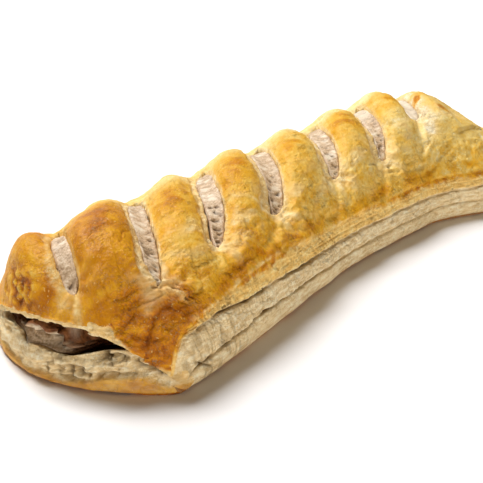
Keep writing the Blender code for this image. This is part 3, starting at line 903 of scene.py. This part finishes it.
def pastry_body():
    """The whole pastry before its ends are torn and the meat's space is cut out."""
    rings, fields = pastry_outside()
    caps = {}
    for end, ring in ((-1, rings[0]), (1, rings[-1])):
        middle = ring[:, 2].mean()
        caps[end] = []
        for share in PASTRY_CAP_SHARES:
            y, z = ring[:, 1] * share, middle + (ring[:, 2] - middle) * share
            x = bowed(np.full_like(y, end * (HALF + PAST_END)), y)
            caps[end].append(stacked(x, y, z))
    rings = np.concatenate([caps[-1][::-1], rings, caps[1]])
    count = len(PASTRY_CAP_SHARES)
    for key, values in fields.items():
        fields[key] = np.concatenate([values[:1].repeat(count, 0), values, values[-1:].repeat(count, 0)])
    return add_solid("pastry_body", *closed_loft(rings, single), fields)


# ---- the torn ends


def end_wave(flat):
    """How far the sheets of an end wander up and down."""
    return 0.9 * noise(flat, (1, 8, 8), 101) + 0.35 * noise(flat, (1, 3, 3), 102)


def near_end_places(flat):
    """The parts of the torn near end: its crust, its lip, its layers, and its holes and slits."""
    y, z = flat[..., 1], flat[..., 2]
    e = SimpleNamespace(y=y, z=z, flat=flat)
    e.right = falling(y, -3, 18)  # towards the cut edge's corner
    e.left = rising(y, 4, 14)
    crust_top = 1.5 + 2.9 * e.right + 1.3 * e.left + 0.5 * noise(flat, (1, 4, 9), 109)
    crust_top = crust_top - 2.4 * falling(y, -21, 4.5)
    e.crust = smooth((crust_top - z) / 0.7 + 0.5)
    lip_z = lip_top(flat[..., 0], y) - 0.9
    e.lip = smooth((z - lip_z) / 0.6 + 0.5)

    e.sheet = (z + end_wave(flat)) / NEAR_SHEET
    e.thin = sheet_edges(e.sheet, 0.22)
    e.torn = smooth(0.35 + 1.3 * noise(flat, (1, 4, 1.6), 104))
    e.calm = 1 - 0.75 * bell(z, 5.6, 1.8) * (1 - e.right)

    puffed = bell(y, -7, 7) * bell(z, 4.3, 1.5)
    by_mouth = bell(y, -15.5, 3.2) * bell(z, 8.0, 1.3)
    e.pore = pits(flat, (9, 1.9, 1.3), 108, 0.6, 1.5, 0.25) * unit(1.2 * puffed + by_mouth + 0.12)
    e.slit = bell(segment_distance(y, z, *CORNER_SLIT), 0, 0.45)
    e.dark_line = most(*(bell(segment_distance(y, z, *line), 0, 0.3) for line in DARK_LINES))
    e.hole = bell(np.hypot(y - HOLE[0], (z - HOLE[1]) * 0.8), 0, 1.15)
    e.from_curl = np.hypot(y - CURL[0], (z - CURL[1]) * 0.8)
    return e


def near_end_relief(flat):
    """How far the torn near end stands out at each point, and its colours."""
    e = near_end_places(flat)
    y, z = e.y, e.z
    torn_strip = np.floor((y + 2.5 * noise(flat, (1, 4, 4), 103)) / 5)
    key = stacked(np.round(e.sheet), torn_strip, 0 * y)
    out = e.calm * (0.7 * (hashed(key, 105) - 0.4) - 0.45 * e.thin * e.torn)
    out += 0.6 * noise(flat, (1, 3.4, 1.5), 106) + 0.3 * noise(flat, (1, 1.3, 0.8), 107)
    roll = bell(z, 5.4, 1.5)  # the pale dough puffs out below the mouth
    out += roll * (1.3 - 1.1 * e.right + 0.6 * noise(flat, (1, 5, 3), 117)) - 0.5 * e.right
    out -= 2.0 * e.pore + 1.8 * e.slit + 0.8 * e.dark_line + 1.8 * e.hole
    out += 0.7 * bell(e.from_curl, 1.25, 0.4)
    lumpy = 0.25 * noise(flat, (1, 4, 2.4), 110) + 0.12 * noise(flat, (1, 1.6, 1.2), 112)
    out = mixed(out, 0.7 + lumpy, e.crust)
    ragged = 0.35 * noise(flat, (1, 1.7, 3), 113) + 0.16 * noise(flat, (1, 0.8, 1), 114)
    out = mixed(out, 0.35 + ragged, e.lip)
    out -= 2.4 * falling(z, 0.9, 0.9) ** 2 * (1 - 0.85 * falling(y, -15, 7))
    out -= 0.24 * np.maximum(0, -25.3 - y) ** 2
    return out, near_end_colours(e)


def near_end_colours(e):
    """The colour fields of the torn near end."""
    y, z, flat = e.y, e.z, e.flat
    tongue = smooth((0.64 * (z - 2) - 24.0 - y) / 1.2 + 0.6 * noise(flat, (1, 1.6, 1.6), 115) + 0.3)
    corner = tongue * (1 - smooth((z - 5.0) / 1.6 + 0.7 * noise(flat, (1, 1.5, 2.5), 119)))
    tongue = tongue - corner
    inside = 1 - np.maximum(e.crust, tongue)
    under = falling(z, 0.9, 0.6)
    bake = 0.4 + 0.14 * e.crust + 0.22 * noise(flat, (1, 6, 1.8), 111) + 0.3 * tongue * rising(z, 2.5, 3.5)
    bake += 0.14 * noise(flat, (1, 1.6, 0.8), 116) + 0.4 * under
    pale = inside * (1 - 0.15 * e.lip) + 0.3 * e.crust * (1 - under)
    grey_lip = e.lip * rising(y, -16, 3) * (1 - rising(y, -22, 3))
    streak = smooth(2.2 * noise(flat, (1, 3.2, 0.9), 118) - 0.35) * bell(y, -15, 6) * rising(z, 5, 2)
    speckle = smooth(2 * noise(flat, (1, 1.1, 2.4), 120))
    curled = bell(e.from_curl, 0, 0.7)
    # painted shade in the pores, slits, hole and cracks, under the curl and between the torn sheets; the
    # streaks and speckles are the dough's own colour
    recess_shade = most(0.95 * e.pore, 0.95 * e.slit, 0.95 * e.hole, 0.75 * e.dark_line, 0.8 * curled)
    hollow = recess_shade + 0.3 * e.calm * e.thin * e.torn * inside + 0.5 * streak + 0.3 * corner * speckle
    return {
        "bake": bake,
        "pale": unit(pale) * (1 - 0.9 * tongue),
        "yellow": 0.12 + 0.35 * e.lip * (1 - grey_lip) + 0.4 * e.crust + 0.12 * e.left,
        "hollow": unit(hollow) * (1 - 0.5 * tongue),
    }


def far_end_relief(flat):
    """The same for the far end, which is torn more evenly."""
    z = flat[..., 2]
    crust = smooth((2.4 - z + 0.7 * noise(flat, (1, 5, 5), 109)) / 0.9)
    thin = sheet_edges((z + end_wave(flat)) / FAR_SHEET, 0.25)
    out = 0.5 * noise(flat, (1, 3.4, 1.5), 106) - 0.4 * thin
    nearest, _, number = cells(flat, (9, 2.2, 1.6), 108)
    pore = smooth(1.3 - nearest / (0.2 + 0.4 * number)) * (number > 0.4)
    pore = pore * smooth(2.2 * noise(flat, (1, 4.5, 2.2), 125) - 0.1)
    out = mixed(out - 1.2 * pore, 0.5 + 0.25 * noise(flat, (1, 4, 2.4), 110), crust)
    out -= 1.3 * falling(z, 1.2, 1.2)
    fields = {
        "bake": 0.42 + 0.08 * noise(flat, (1, 5, 3), 111),
        "pale": 1 - 0.75 * crust,
        "yellow": 0.3 + 0.3 * crust,
        # painted shade in the pores and between the sheets
        "hollow": unit(0.8 * pore + 0.3 * thin) * (1 - crust),
    }
    return out, fields


def end_cutter(side, relief, y_step, z_step):
    """A block whose inner face is the torn end of the roll, in layers."""
    ys = np.arange(CUTTER_Y[0], CUTTER_Y[1] + y_step, y_step)
    zs = np.arange(CUTTER_Z[0], CUTTER_Z[1] + z_step, z_step)
    y, z = np.meshgrid(ys, zs, indexing="ij")
    flat = stacked(side * HALF + 0 * y, y, z)
    out, fields = relief(flat)
    front = stacked(bowed(flat[..., 0], y) + side * out, y, z).reshape(-1, 3)
    index = np.arange(y.size).reshape(y.shape)
    faces = stacked(index[:-1, :-1], index[1:, :-1], index[1:, 1:], index[:-1, 1:])
    faces = [tuple(f) for f in faces.reshape(-1, 4)]
    rim = np.concatenate([index[:-1, 0], index[-1, :-1], index[:0:-1, -1], index[0, :0:-1]])
    back = front[rim].copy()
    back[:, 0] = side * (HALF + CUTTER_DEPTH)
    first, count = len(front), len(rim)
    for i in range(count):
        j = (i + 1) % count
        faces.append((rim[j], rim[i], first + i, first + j))
    faces.append(tuple(range(first, first + count))[::-1])
    fields = {key: np.concatenate([values.reshape(-1), np.zeros(count)]) for key, values in fields.items()}
    return add_solid(f"end_{side}", np.concatenate([front, back]), faces, fields)


# ---- the meat and the space it lies in


def meat_section(x, turns, grow, lowered):
    """Rings of the space in the pastry, or of the meat when grow is negative, with their tops
    lowered, and each point's y."""
    seam = SEAM_PASTRY - seam_reach(x) - grow
    fold = FOLD_REACH - FOLD_PASTRY + grow
    floor = mixed(END_BASE_PASTRY, BASE_PASTRY, end_share(x, 0 * x))
    across = np.copysign(abs(np.cos(turns)) ** 0.8, np.cos(turns))
    y = (seam + fold) / 2 + (fold - seam) / 2 * across
    sill = MOUTH_SILL * rising(y, 7, 4) + SEAM_SILL * falling(y, -6, 10)
    floor = floor + sill * (1 - smooth((x + HALF) / MOUTH_DEPTH))
    under = roof(x, y)
    base = np.minimum(floor, under - THINNEST_MEAT) - grow
    top = under + grow
    middle = mixed(base, top, MEAT_WIDEST)
    top = np.maximum(middle, top - lowered)
    up = np.sin(turns)
    z = np.where(
        up > 0,
        mixed(middle, top, np.maximum(up, 0) ** 0.5),
        mixed(middle, base, np.maximum(-up, 0) ** 0.6),
    )
    return stacked(bowed(x, y), y, z), y


def meat_space():
    """The space in the pastry, torn where it opens at the two mouths."""
    near_step, middle_step, far_step = MOUTH_STEPS
    near = np.arange(-HALF, MOUTH_REACH - HALF, near_step)
    middle = np.arange(MOUTH_REACH - HALF, HALF - MOUTH_REACH, middle_step)
    far = np.arange(HALF - MOUTH_REACH, HALF + 0.01, far_step)
    turns = 2 * np.pi * (np.arange(SPACE_LINES) + 0.5) / SPACE_LINES
    x, turn = np.meshgrid(np.concatenate([near, middle, far]), turns, indexing="ij")
    rings, y = meat_section(x, turn, 0.0, 0.0)
    plan = stacked(x, y, rings[..., 2])
    inside = HALF - abs(x)
    mouth = 1 - smooth(inside / 18)
    up = smooth((np.sin(turn) + 0.1) / 0.5)
    strand = smooth(1.6 * noise(plan, (9, 0.9, 40), 124) + 0.1)
    torn = 0.45 * noise(plan, (6, 1.8, 2), 121) + 0.25 * noise(plan, (3, 0.9, 1), 122)
    torn = torn + 0.5 * strand * up * rising(inside, 0.3, 1.2)
    rings[..., 2] += up * (0.9 * mouth * smooth(inside / 1.5 + 0.7) * (x < 0))
    inward = rings.mean(axis=1, keepdims=True) - rings
    inward[..., 0] = 0
    inward /= np.linalg.norm(inward, axis=-1, keepdims=True) + 1e-6
    rings = rings + inward * (mouth * np.maximum(torn + 0.15, -0.3))[..., None]

    deep = rising(inside, 0.4, 1.6)
    side = rising(y, 8, 5)
    puffs = (1 - up) * rising(y, -9, 4) * (x < 0)
    fields = {
        "bake": 0.7 + 0.16 * deep - 0.12 * strand + 0.1 * noise(plan, 3, 123) - 0.2 * side,
        "pale": unit(1 - deep * mixed(0.9, 0.95, up) * (1 - 0.8 * puffs)),
        "yellow": 0.2 + 0.2 * up,
        # painted shade deeper inside the mouth
        "hollow": unit(0.35 * deep * up * (1 - 0.8 * strand) + 0.4 * deep * (1 - puffs)),
    }
    past_near, past_far = rings[:1].copy(), rings[-1:].copy()
    past_near[..., 0] -= SPACE_PAST_END
    past_far[..., 0] += SPACE_PAST_END
    rings = np.concatenate([past_near, rings, past_far])
    fields = {key: np.concatenate([v[:1], v, v[-1:]]) for key, v in fields.items()}
    return add_solid("meat_space", *closed_loft(rings, ladder), fields)


def under_lump_edge(y, z):
    """1 on the grey front of the near end's lump of meat, 0 in the dark juices and painted shade above it.
    """
    edge = np.interp(y, *zip(*LUMP_EDGE))
    return smooth((edge - z) / 0.9 + 0.7)


def on_lump(y, past=0.0):
    """1 across the lump of mince in the near mouth, and 0 beside it."""
    return rising(y, LUMP_Y[0], 6) * falling(y, LUMP_Y[1] + past, 2)


def mouth_ceiling(x, y):
    """How high the mince stands behind the near mouth."""
    ceiling = LUMP_TOP - 4.4 * falling(y, 0, 9) - 2.5 * rising(y, 3, 6)
    ceiling += 0.25 * np.maximum(0, x + HALF - 3)
    return ceiling + 0.9 * noise(stacked(x, y, 0 * x), 3.0, 145)


def meat_end(ring):
    """The lumpy rings that close the meat at the near end, and their fields."""
    middle = ring.mean(axis=0)
    shares = MEAT_CAP_SHARES[:, None]
    caps = middle + (ring - middle) * shares[..., None]
    flat = caps * (0, 1, 1)
    caps[..., 0] = mixed(ring[None, :, 0], middle[0] + 1.0, (1 - shares) * 0.6)
    caps[..., 0] += 2.2 * noise(flat, 3.2, 141) + 1.1 * noise(flat, 1.5, 142) - 0.6 * (1 - shares**2)
    y, z = caps[..., 1], caps[..., 2]
    lump = on_lump(y, 1)
    strand = bell(segment_distance(y, z, *STRAND), 0, 0.6)
    caps[..., 0] -= 1.6 * lump + 0.7 * strand + 1.5 * (falling(y, -4, 3) * (1 - lump))
    nearest, second, number = cells(flat, 2.4, 143)
    fields = {
        "fat": np.maximum(0.4 * rising(number, 0.6, 0.1), strand),
        # dark borders between the grains, painted shade
        "pit": 0.5 * (1 - smooth((second - nearest) / 0.3)),
        "tint": number,
        # dark juices and painted shade above the lump's grey front
        "shade": 1 - lump * under_lump_edge(y, z),
    }
    return caps, fields


def filling_mesh():
    """The log of mince, lumpy and pitted where it shows."""
    stations = np.arange(MEAT_RECESS - 1.5 - HALF, HALF - MEAT_RECESS + 0.01, MEAT_STEP)
    under = np.linspace(-np.pi, 0, MEAT_LINES_UNDER, endpoint=False)
    over = np.linspace(0, np.pi, MEAT_LINES_OVER, endpoint=False)
    turns = np.concatenate([over, under + 2 * np.pi]) + 0.02
    x, turn = np.meshgrid(stations, turns, indexing="ij")
    near = x < 0
    above = np.sin(turn) > 0.2
    y = meat_section(x, turn, -CLEARANCE, 0.0)[1]
    lump = on_lump(y) * near
    gap = MOUTH_GAP * (1 - smooth((HALF - MEAT_RECESS - abs(x)) / MOUTH_DEPTH)) * (1 - 0.6 * lump)
    rings, y = meat_section(x, turn, -CLEARANCE, gap)
    z = rings[..., 2]
    ceiling = mouth_ceiling(x, y)
    rings[..., 2] = mixed(z, np.minimum(z, ceiling), smooth((z - ceiling + 1.5) / 3) * near)

    # grains of mince with pits between them, whose dark colour is painted shade
    plan = stacked(x, y, rings[..., 2])
    nearest, second, number = cells(plan, (2.6, 2.6, 2.6), 131)
    grain = smooth((second - nearest) / 0.35)
    opened, slash, place, _ = slash_distance(x, y)
    tip = falling(place, -0.05, 0.6)
    pit = pits(plan, 1.5, 135, 0.5, 1.25, 0.8 - 0.5 * tip) * falling(opened, -0.3, 0.5)
    sunk = 0.25 + 0.06 * (1 - grain) + 0.7 * pit
    sunk = sunk - 0.25 * noise(plan, 5, 139) - 0.12 * noise(plan, 1.8, 138)
    outward = rings - (0, 0, MEAT_MIDDLE_Z)
    outward[..., 0] = 0
    outward /= np.linalg.norm(outward, axis=-1, keepdims=True)
    rings = rings - outward * np.maximum(0.0, sunk)[..., None]

    # the level in the slashes, and the face in the near mouth
    level = outer_top(x, y) - MEAT_BELOW_CRUST * (1 - 0.4 * smooth(place)) - 0.8 * sunk
    rings[..., 2] = mixed(rings[..., 2], level, falling(opened, 0.45, 0.4) * above)
    rings[..., 0] += falling(y, -7, 4) * near * (1 - smooth((x + HALF) / 16)) * 6.0
    end_lumps = (1 - smooth((x + HALF) / 9)) * near * above
    rings[..., 2] -= end_lumps * np.maximum(-0.2, 0.3 + 1.1 * noise(plan, 2.4, 144))

    last = len(SLASH_WIDTHS) - 1
    fat = rising(number, 0.62, 0.06) * grain * smooth(1.5 - nearest * 1.7)
    fat = most(fat, slash == last, 0.8 * (slash == last - 1) * rising(place, 0.1, 0.4))
    # dark juices and painted shade wherever the meat does not show through a slash, taken off the lump's
    # lit front
    shade = 1 - falling(opened, 0.5, 0.5) * above
    lit = smooth((-HALF + 3.4 - x) / 1.6) * under_lump_edge(y, rings[..., 2])
    fields = {
        "fat": fat,
        "pit": unit(pit * (0.5 + 0.5 * tip) + 0.15 * (1 - grain)),
        "tint": number,
        "shade": shade * (1 - 0.8 * lump * lit),
    }
    caps, cap_fields = meat_end(rings[0])
    rings = np.concatenate([caps[::-1], rings])
    fields = {key: np.concatenate([cap_fields[key][::-1], values]) for key, values in fields.items()}
    return add_solid("filling_mince", *closed_loft(rings, single), fields)


# ---- materials


def srgb(*levels):
    """A colour given in display values from 0 to 255, as a shader takes it."""
    shares = [level / 255 for level in levels]
    return (*(c / 12.92 if c <= 0.04045 else ((c + 0.055) / 1.055) ** 2.4 for c in shares), 1.0)


def grey(level):
    return (level, level, level, 1)


class Shading:
    """A material under construction."""

    def __init__(self, name, shine):
        self.material = bpy.data.materials.new(name)
        self.material.use_nodes = True
        self.tree = self.material.node_tree
        self.shader = self.tree.nodes["Principled BSDF"]
        self.shader.inputs["Specular IOR Level"].default_value = shine
        self.object_space = self.tree.nodes.new("ShaderNodeTexCoord").outputs["Object"]

    def node(self, kind, settings=None, **sockets):
        made = self.tree.nodes.new(kind)
        for key, value in (settings or {}).items():
            setattr(made, key, value)
        for key, value in sockets.items():
            self.plug(made.inputs[int(key[1:]) if key[0] == "_" else key], value)
        return made

    def plug(self, socket, value):
        if isinstance(value, bpy.types.NodeSocket):
            self.tree.links.new(value, socket)
        else:
            socket.default_value = value

    def finish(self, colour, roughness, normal):
        for name, value in (("Base Color", colour), ("Roughness", roughness), ("Normal", normal)):
            self.plug(self.shader.inputs[name], value)
        return self.material

    def field(self, name):
        return self.node("ShaderNodeAttribute", {"attribute_name": name}).outputs["Fac"]

    def math(self, operation, a, b=0.0, c=0.0, clamp=False):
        settings = {"operation": operation, "use_clamp": clamp}
        return self.node("ShaderNodeMath", settings, _0=a, _1=b, _2=c).outputs[0]

    def add(self, base, value, share, clamp=False):
        """The base with a share of the value added."""
        return self.math("MULTIPLY_ADD", value, share, base, clamp)

    def noise(self, size, detail=3.0, roughness=0.55, stretch=(1, 1, 1)):
        """Noise whose lumps are about `size` millimetres across."""
        place = self.object_space
        if stretch != (1, 1, 1):
            scale = {"_3": tuple(1 / s for s in stretch)}
            place = self.node("ShaderNodeMapping", _0=place, **scale).outputs[0]
        sockets = {"Scale": 1 / (size * MM), "Detail": detail, "Roughness": roughness}
        return self.node("ShaderNodeTexNoise", _0=place, **sockets).outputs["Fac"]

    def ramp(self, value, stops):
        made = self.node("ShaderNodeValToRGB", _0=value)
        elements = made.color_ramp.elements
        while len(elements) < len(stops):
            elements.new(0.5)
        for element, (place, colour) in zip(elements, stops):
            element.position = place
            element.color = colour
        return made.outputs["Color"]

    def blend(self, a, b, share):
        return self.node("ShaderNodeMix", {"data_type": "RGBA"}, _0=share, _6=a, _7=b).outputs[2]

    def bump(self, height, depth):
        sockets = {"Distance": depth * MM, "Strength": 1.0, "Height": height}
        return self.node("ShaderNodeBump", **sockets).outputs["Normal"]


CRUST_STOPS = (
    (0.0, srgb(246, 228, 178)),
    (0.15, srgb(242, 210, 128)),
    (0.3, srgb(238, 190, 82)),
    (0.45, srgb(232, 168, 34)),
    (0.6, srgb(212, 138, 12)),
    (0.75, srgb(186, 108, 8)),
    (0.9, srgb(146, 74, 10)),
    (1.0, srgb(92, 44, 12)),
)
WHITE_STOPS = ((0.3, srgb(212, 184, 136)), (0.5, srgb(238, 216, 172)), (0.68, srgb(252, 242, 212)))
CREAM_STOPS = ((0.3, srgb(230, 178, 92)), (0.5, srgb(248, 206, 122)), (0.7, srgb(254, 230, 164)))
MEAT_STOPS = ((0.46, srgb(168, 138, 104)), (0.62, srgb(206, 176, 140)), (0.8, srgb(234, 212, 180)))
# dark juices and painted shade on the meat in the near mouth
JUICE_AND_SHADE_STOPS = ((0.35, srgb(86, 46, 18)), (0.62, srgb(136, 84, 42)))
FLECK = srgb(250, 218, 140)
# painted shade for the pastry's grooves, pores, cracks and slashes
SHALLOW_SHADE, DEEP_SHADE = srgb(184, 146, 90), srgb(84, 60, 26)  # in the pastry's grooves
# PIT is painted shade in the meat's pits
FAT, PIT = srgb(236, 222, 196), srgb(84, 56, 34)
FLOOR = (0.94, 0.9, 0.85, 1)
FLAKE_STEPS = 13.0


def pastry_material():
    s = Shading("baked_pastry", shine=0.14)
    bake, pale, yellow, hollow = (s.field(name) for name in PASTRY_FIELDS)
    coarse, fine, grain = s.noise(3.0), s.noise(0.9), s.noise(0.3, 2.0)

    # thin flakes lying over each other: each step of a rough field ends in a crisp edge. The steps go into
    # the bump and into the colour, where they are partly the flakes' own tone and partly a painted
    # highlight and shade at each edge
    steps = s.math("MULTIPLY", s.noise(4.2, 5.0, 0.6, (1.5, 1.0, 1.0)), FLAKE_STEPS)
    flake = s.math("SUBTRACT", s.math("FRACT", steps), 0.5)
    flake = s.math("MULTIPLY", flake, s.ramp(s.noise(6.0), ((0.4, grey(0.15)), (0.62, grey(1)))))

    mottled = s.math("ADD", s.math("MULTIPLY", coarse, 0.24), s.math("MULTIPLY", fine, 0.28))
    mottled = s.add(mottled, flake, 0.22)
    crust = s.ramp(s.math("ADD", bake, s.math("SUBTRACT", mottled, 0.26)), CRUST_STOPS)
    flecks = s.ramp(s.noise(0.75, 1.0), ((0.68, grey(0)), (0.76, grey(0.45))))
    crust = s.blend(crust, FLECK, flecks)
    tone = s.add(s.noise(1.6, 4.0, 0.65, (2.0, 2.0, 0.5)), flake, 0.2)
    cut = s.blend(s.ramp(tone, WHITE_STOPS), s.ramp(tone, CREAM_STOPS), yellow)
    ragged = s.add(pale, s.math("SUBTRACT", fine, 0.5), 0.5)
    surface = s.blend(crust, cut, s.add(ragged, flake, 0.35, clamp=True))
    # painted shade in the hollows, which also carries the dough's dark streaks
    surface = s.blend(surface, s.blend(SHALLOW_SHADE, DEEP_SHADE, hollow), s.math("MULTIPLY", hollow, 0.9))
    rough = s.add(s.math("MULTIPLY_ADD", pale, 0.3, 0.36), fine, 0.2)
    relief = s.add(s.add(fine, grain, 0.3), flake, 0.7)
    return s.finish(surface, rough, s.bump(relief, 0.32))


def meat_material():
    s = Shading("sausage_meat", shine=0.25)
    fat, pit, tint, shade = (s.field(name) for name in ("fat", "pit", "tint", "shade"))
    coarse, fine = s.noise(1.8), s.noise(0.5)
    tone = s.add(s.add(s.math("MULTIPLY", tint, 0.1), coarse, 0.5), fine, 0.7)
    meat = s.blend(s.ramp(tone, MEAT_STOPS), FAT, s.math("MULTIPLY", fat, 0.75))
    # painted shade in the pits and between the grains
    meat = s.blend(meat, PIT, s.math("MULTIPLY", pit, 0.85))
    # dark juices and painted shade where the shade field is 1
    juices_and_shade = s.ramp(s.noise(1.4, 3.0, 0.6, (1.0, 0.7, 2.4)), JUICE_AND_SHADE_STOPS)
    rough = s.math("MULTIPLY_ADD", fine, 0.25, 0.45)
    bumps = s.bump(s.math("ADD", fine, coarse), 0.22)
    return s.finish(s.blend(meat, juices_and_shade, shade), rough, bumps)


def floor_material():
    s = Shading("white_floor", shine=0.1)
    s.shader.inputs["Base Color"].default_value = FLOOR
    s.shader.inputs["Roughness"].default_value = 0.9
    return s.material


# ---- building it


def dress(thing, material):
    """Gives a piece its material and shades it smooth."""
    mesh = thing.data
    mesh.materials.clear()  # a Boolean leaves an empty slot
    mesh.materials.append(material)
    mesh.polygons.foreach_set("use_smooth", [True] * len(mesh.polygons))
    mesh.update()


body = pastry_body()
ends = [end_cutter(-1, near_end_relief, *NEAR_END_STEPS), end_cutter(1, far_end_relief, *FAR_END_STEPS)]
pastry = carved(body, ends + [meat_space()], "pastry_crust")
dress(pastry, pastry_material())
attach(pastry, "root")
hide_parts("pastry")

filling = filling_mesh()
dress(filling, meat_material())
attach(filling, "root")
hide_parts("filling")

# ---- stage, light and camera

SKY, SKY_STRENGTH = (1, 0.84, 0.64, 1), 0.1
FLOOR_REACH = 4000
FLOOR_CORNERS = ((-1, -1), (1, -1), (1, 1), (-1, 1))
floor = add_mesh("floor", [(FLOOR_REACH * x, FLOOR_REACH * y, 0) for x, y in FLOOR_CORNERS], [(0, 1, 2, 3)])
floor.data.materials.append(floor_material())

world = bpy.data.worlds.new("studio")
bpy.context.scene.world = world
world.use_nodes = True
background = world.node_tree.nodes["Background"]
background.inputs["Color"].default_value = SKY
background.inputs["Strength"].default_value = SKY_STRENGTH


def area_light(name, place, aim, size, power, colour):
    """A square light at a place in metres, turned to its aim."""
    light = bpy.data.lights.new(name, "AREA")
    light.size = size
    light.energy = power
    light.color = colour
    lamp = bpy.data.objects.new(name, light)
    lamp.location = place
    lamp.rotation_mode = "QUATERNION"
    lamp.rotation_quaternion = (Vector(aim) - Vector(place)).to_track_quat("-Z", "Y")
    bpy.context.scene.collection.objects.link(lamp)


KEY = dict(place=(0.13, 0.62, 0.95), aim=(0, 0, 0), size=0.5, power=19.5, colour=(0.97, 1.0, 1.06))
FRONT = dict(place=(-0.65, -0.88, 0.075), aim=(0, 0, 0.02), size=0.13, power=5.2, colour=(1.0, 0.96, 0.89))
area_light("key", **KEY)
area_light("front", **FRONT)

VIEW_TURN, VIEW_PITCH = 34.88, 21.41  # degrees: from +X towards +Y, and down
VIEW_DISTANCE = 300.0
VIEW_AIM = (-16.0, 8.06 + FOLD_SHIFT, 2.7)
FOCAL_PIXELS, FRAME_PIXELS, SENSOR = 1100, 483, 36.0
turn, pitch = math.radians(VIEW_TURN), math.radians(VIEW_PITCH)
forward = Vector((math.cos(turn) * math.cos(pitch), math.sin(turn) * math.cos(pitch), -math.sin(pitch)))
camera = bpy.data.objects.new("camera", bpy.data.cameras.new("camera"))
camera.data.sensor_width = SENSOR
camera.data.lens = FOCAL_PIXELS / FRAME_PIXELS * SENSOR
camera.data.clip_start = 0.01
camera.location = (Vector(VIEW_AIM) - forward * VIEW_DISTANCE) * MM
camera.rotation_mode = "QUATERNION"
camera.rotation_quaternion = forward.to_track_quat("-Z", "Y")
bpy.context.scene.collection.objects.link(camera)
bpy.context.scene.camera = camera
bpy.context.scene.view_settings.view_transform = "Standard"
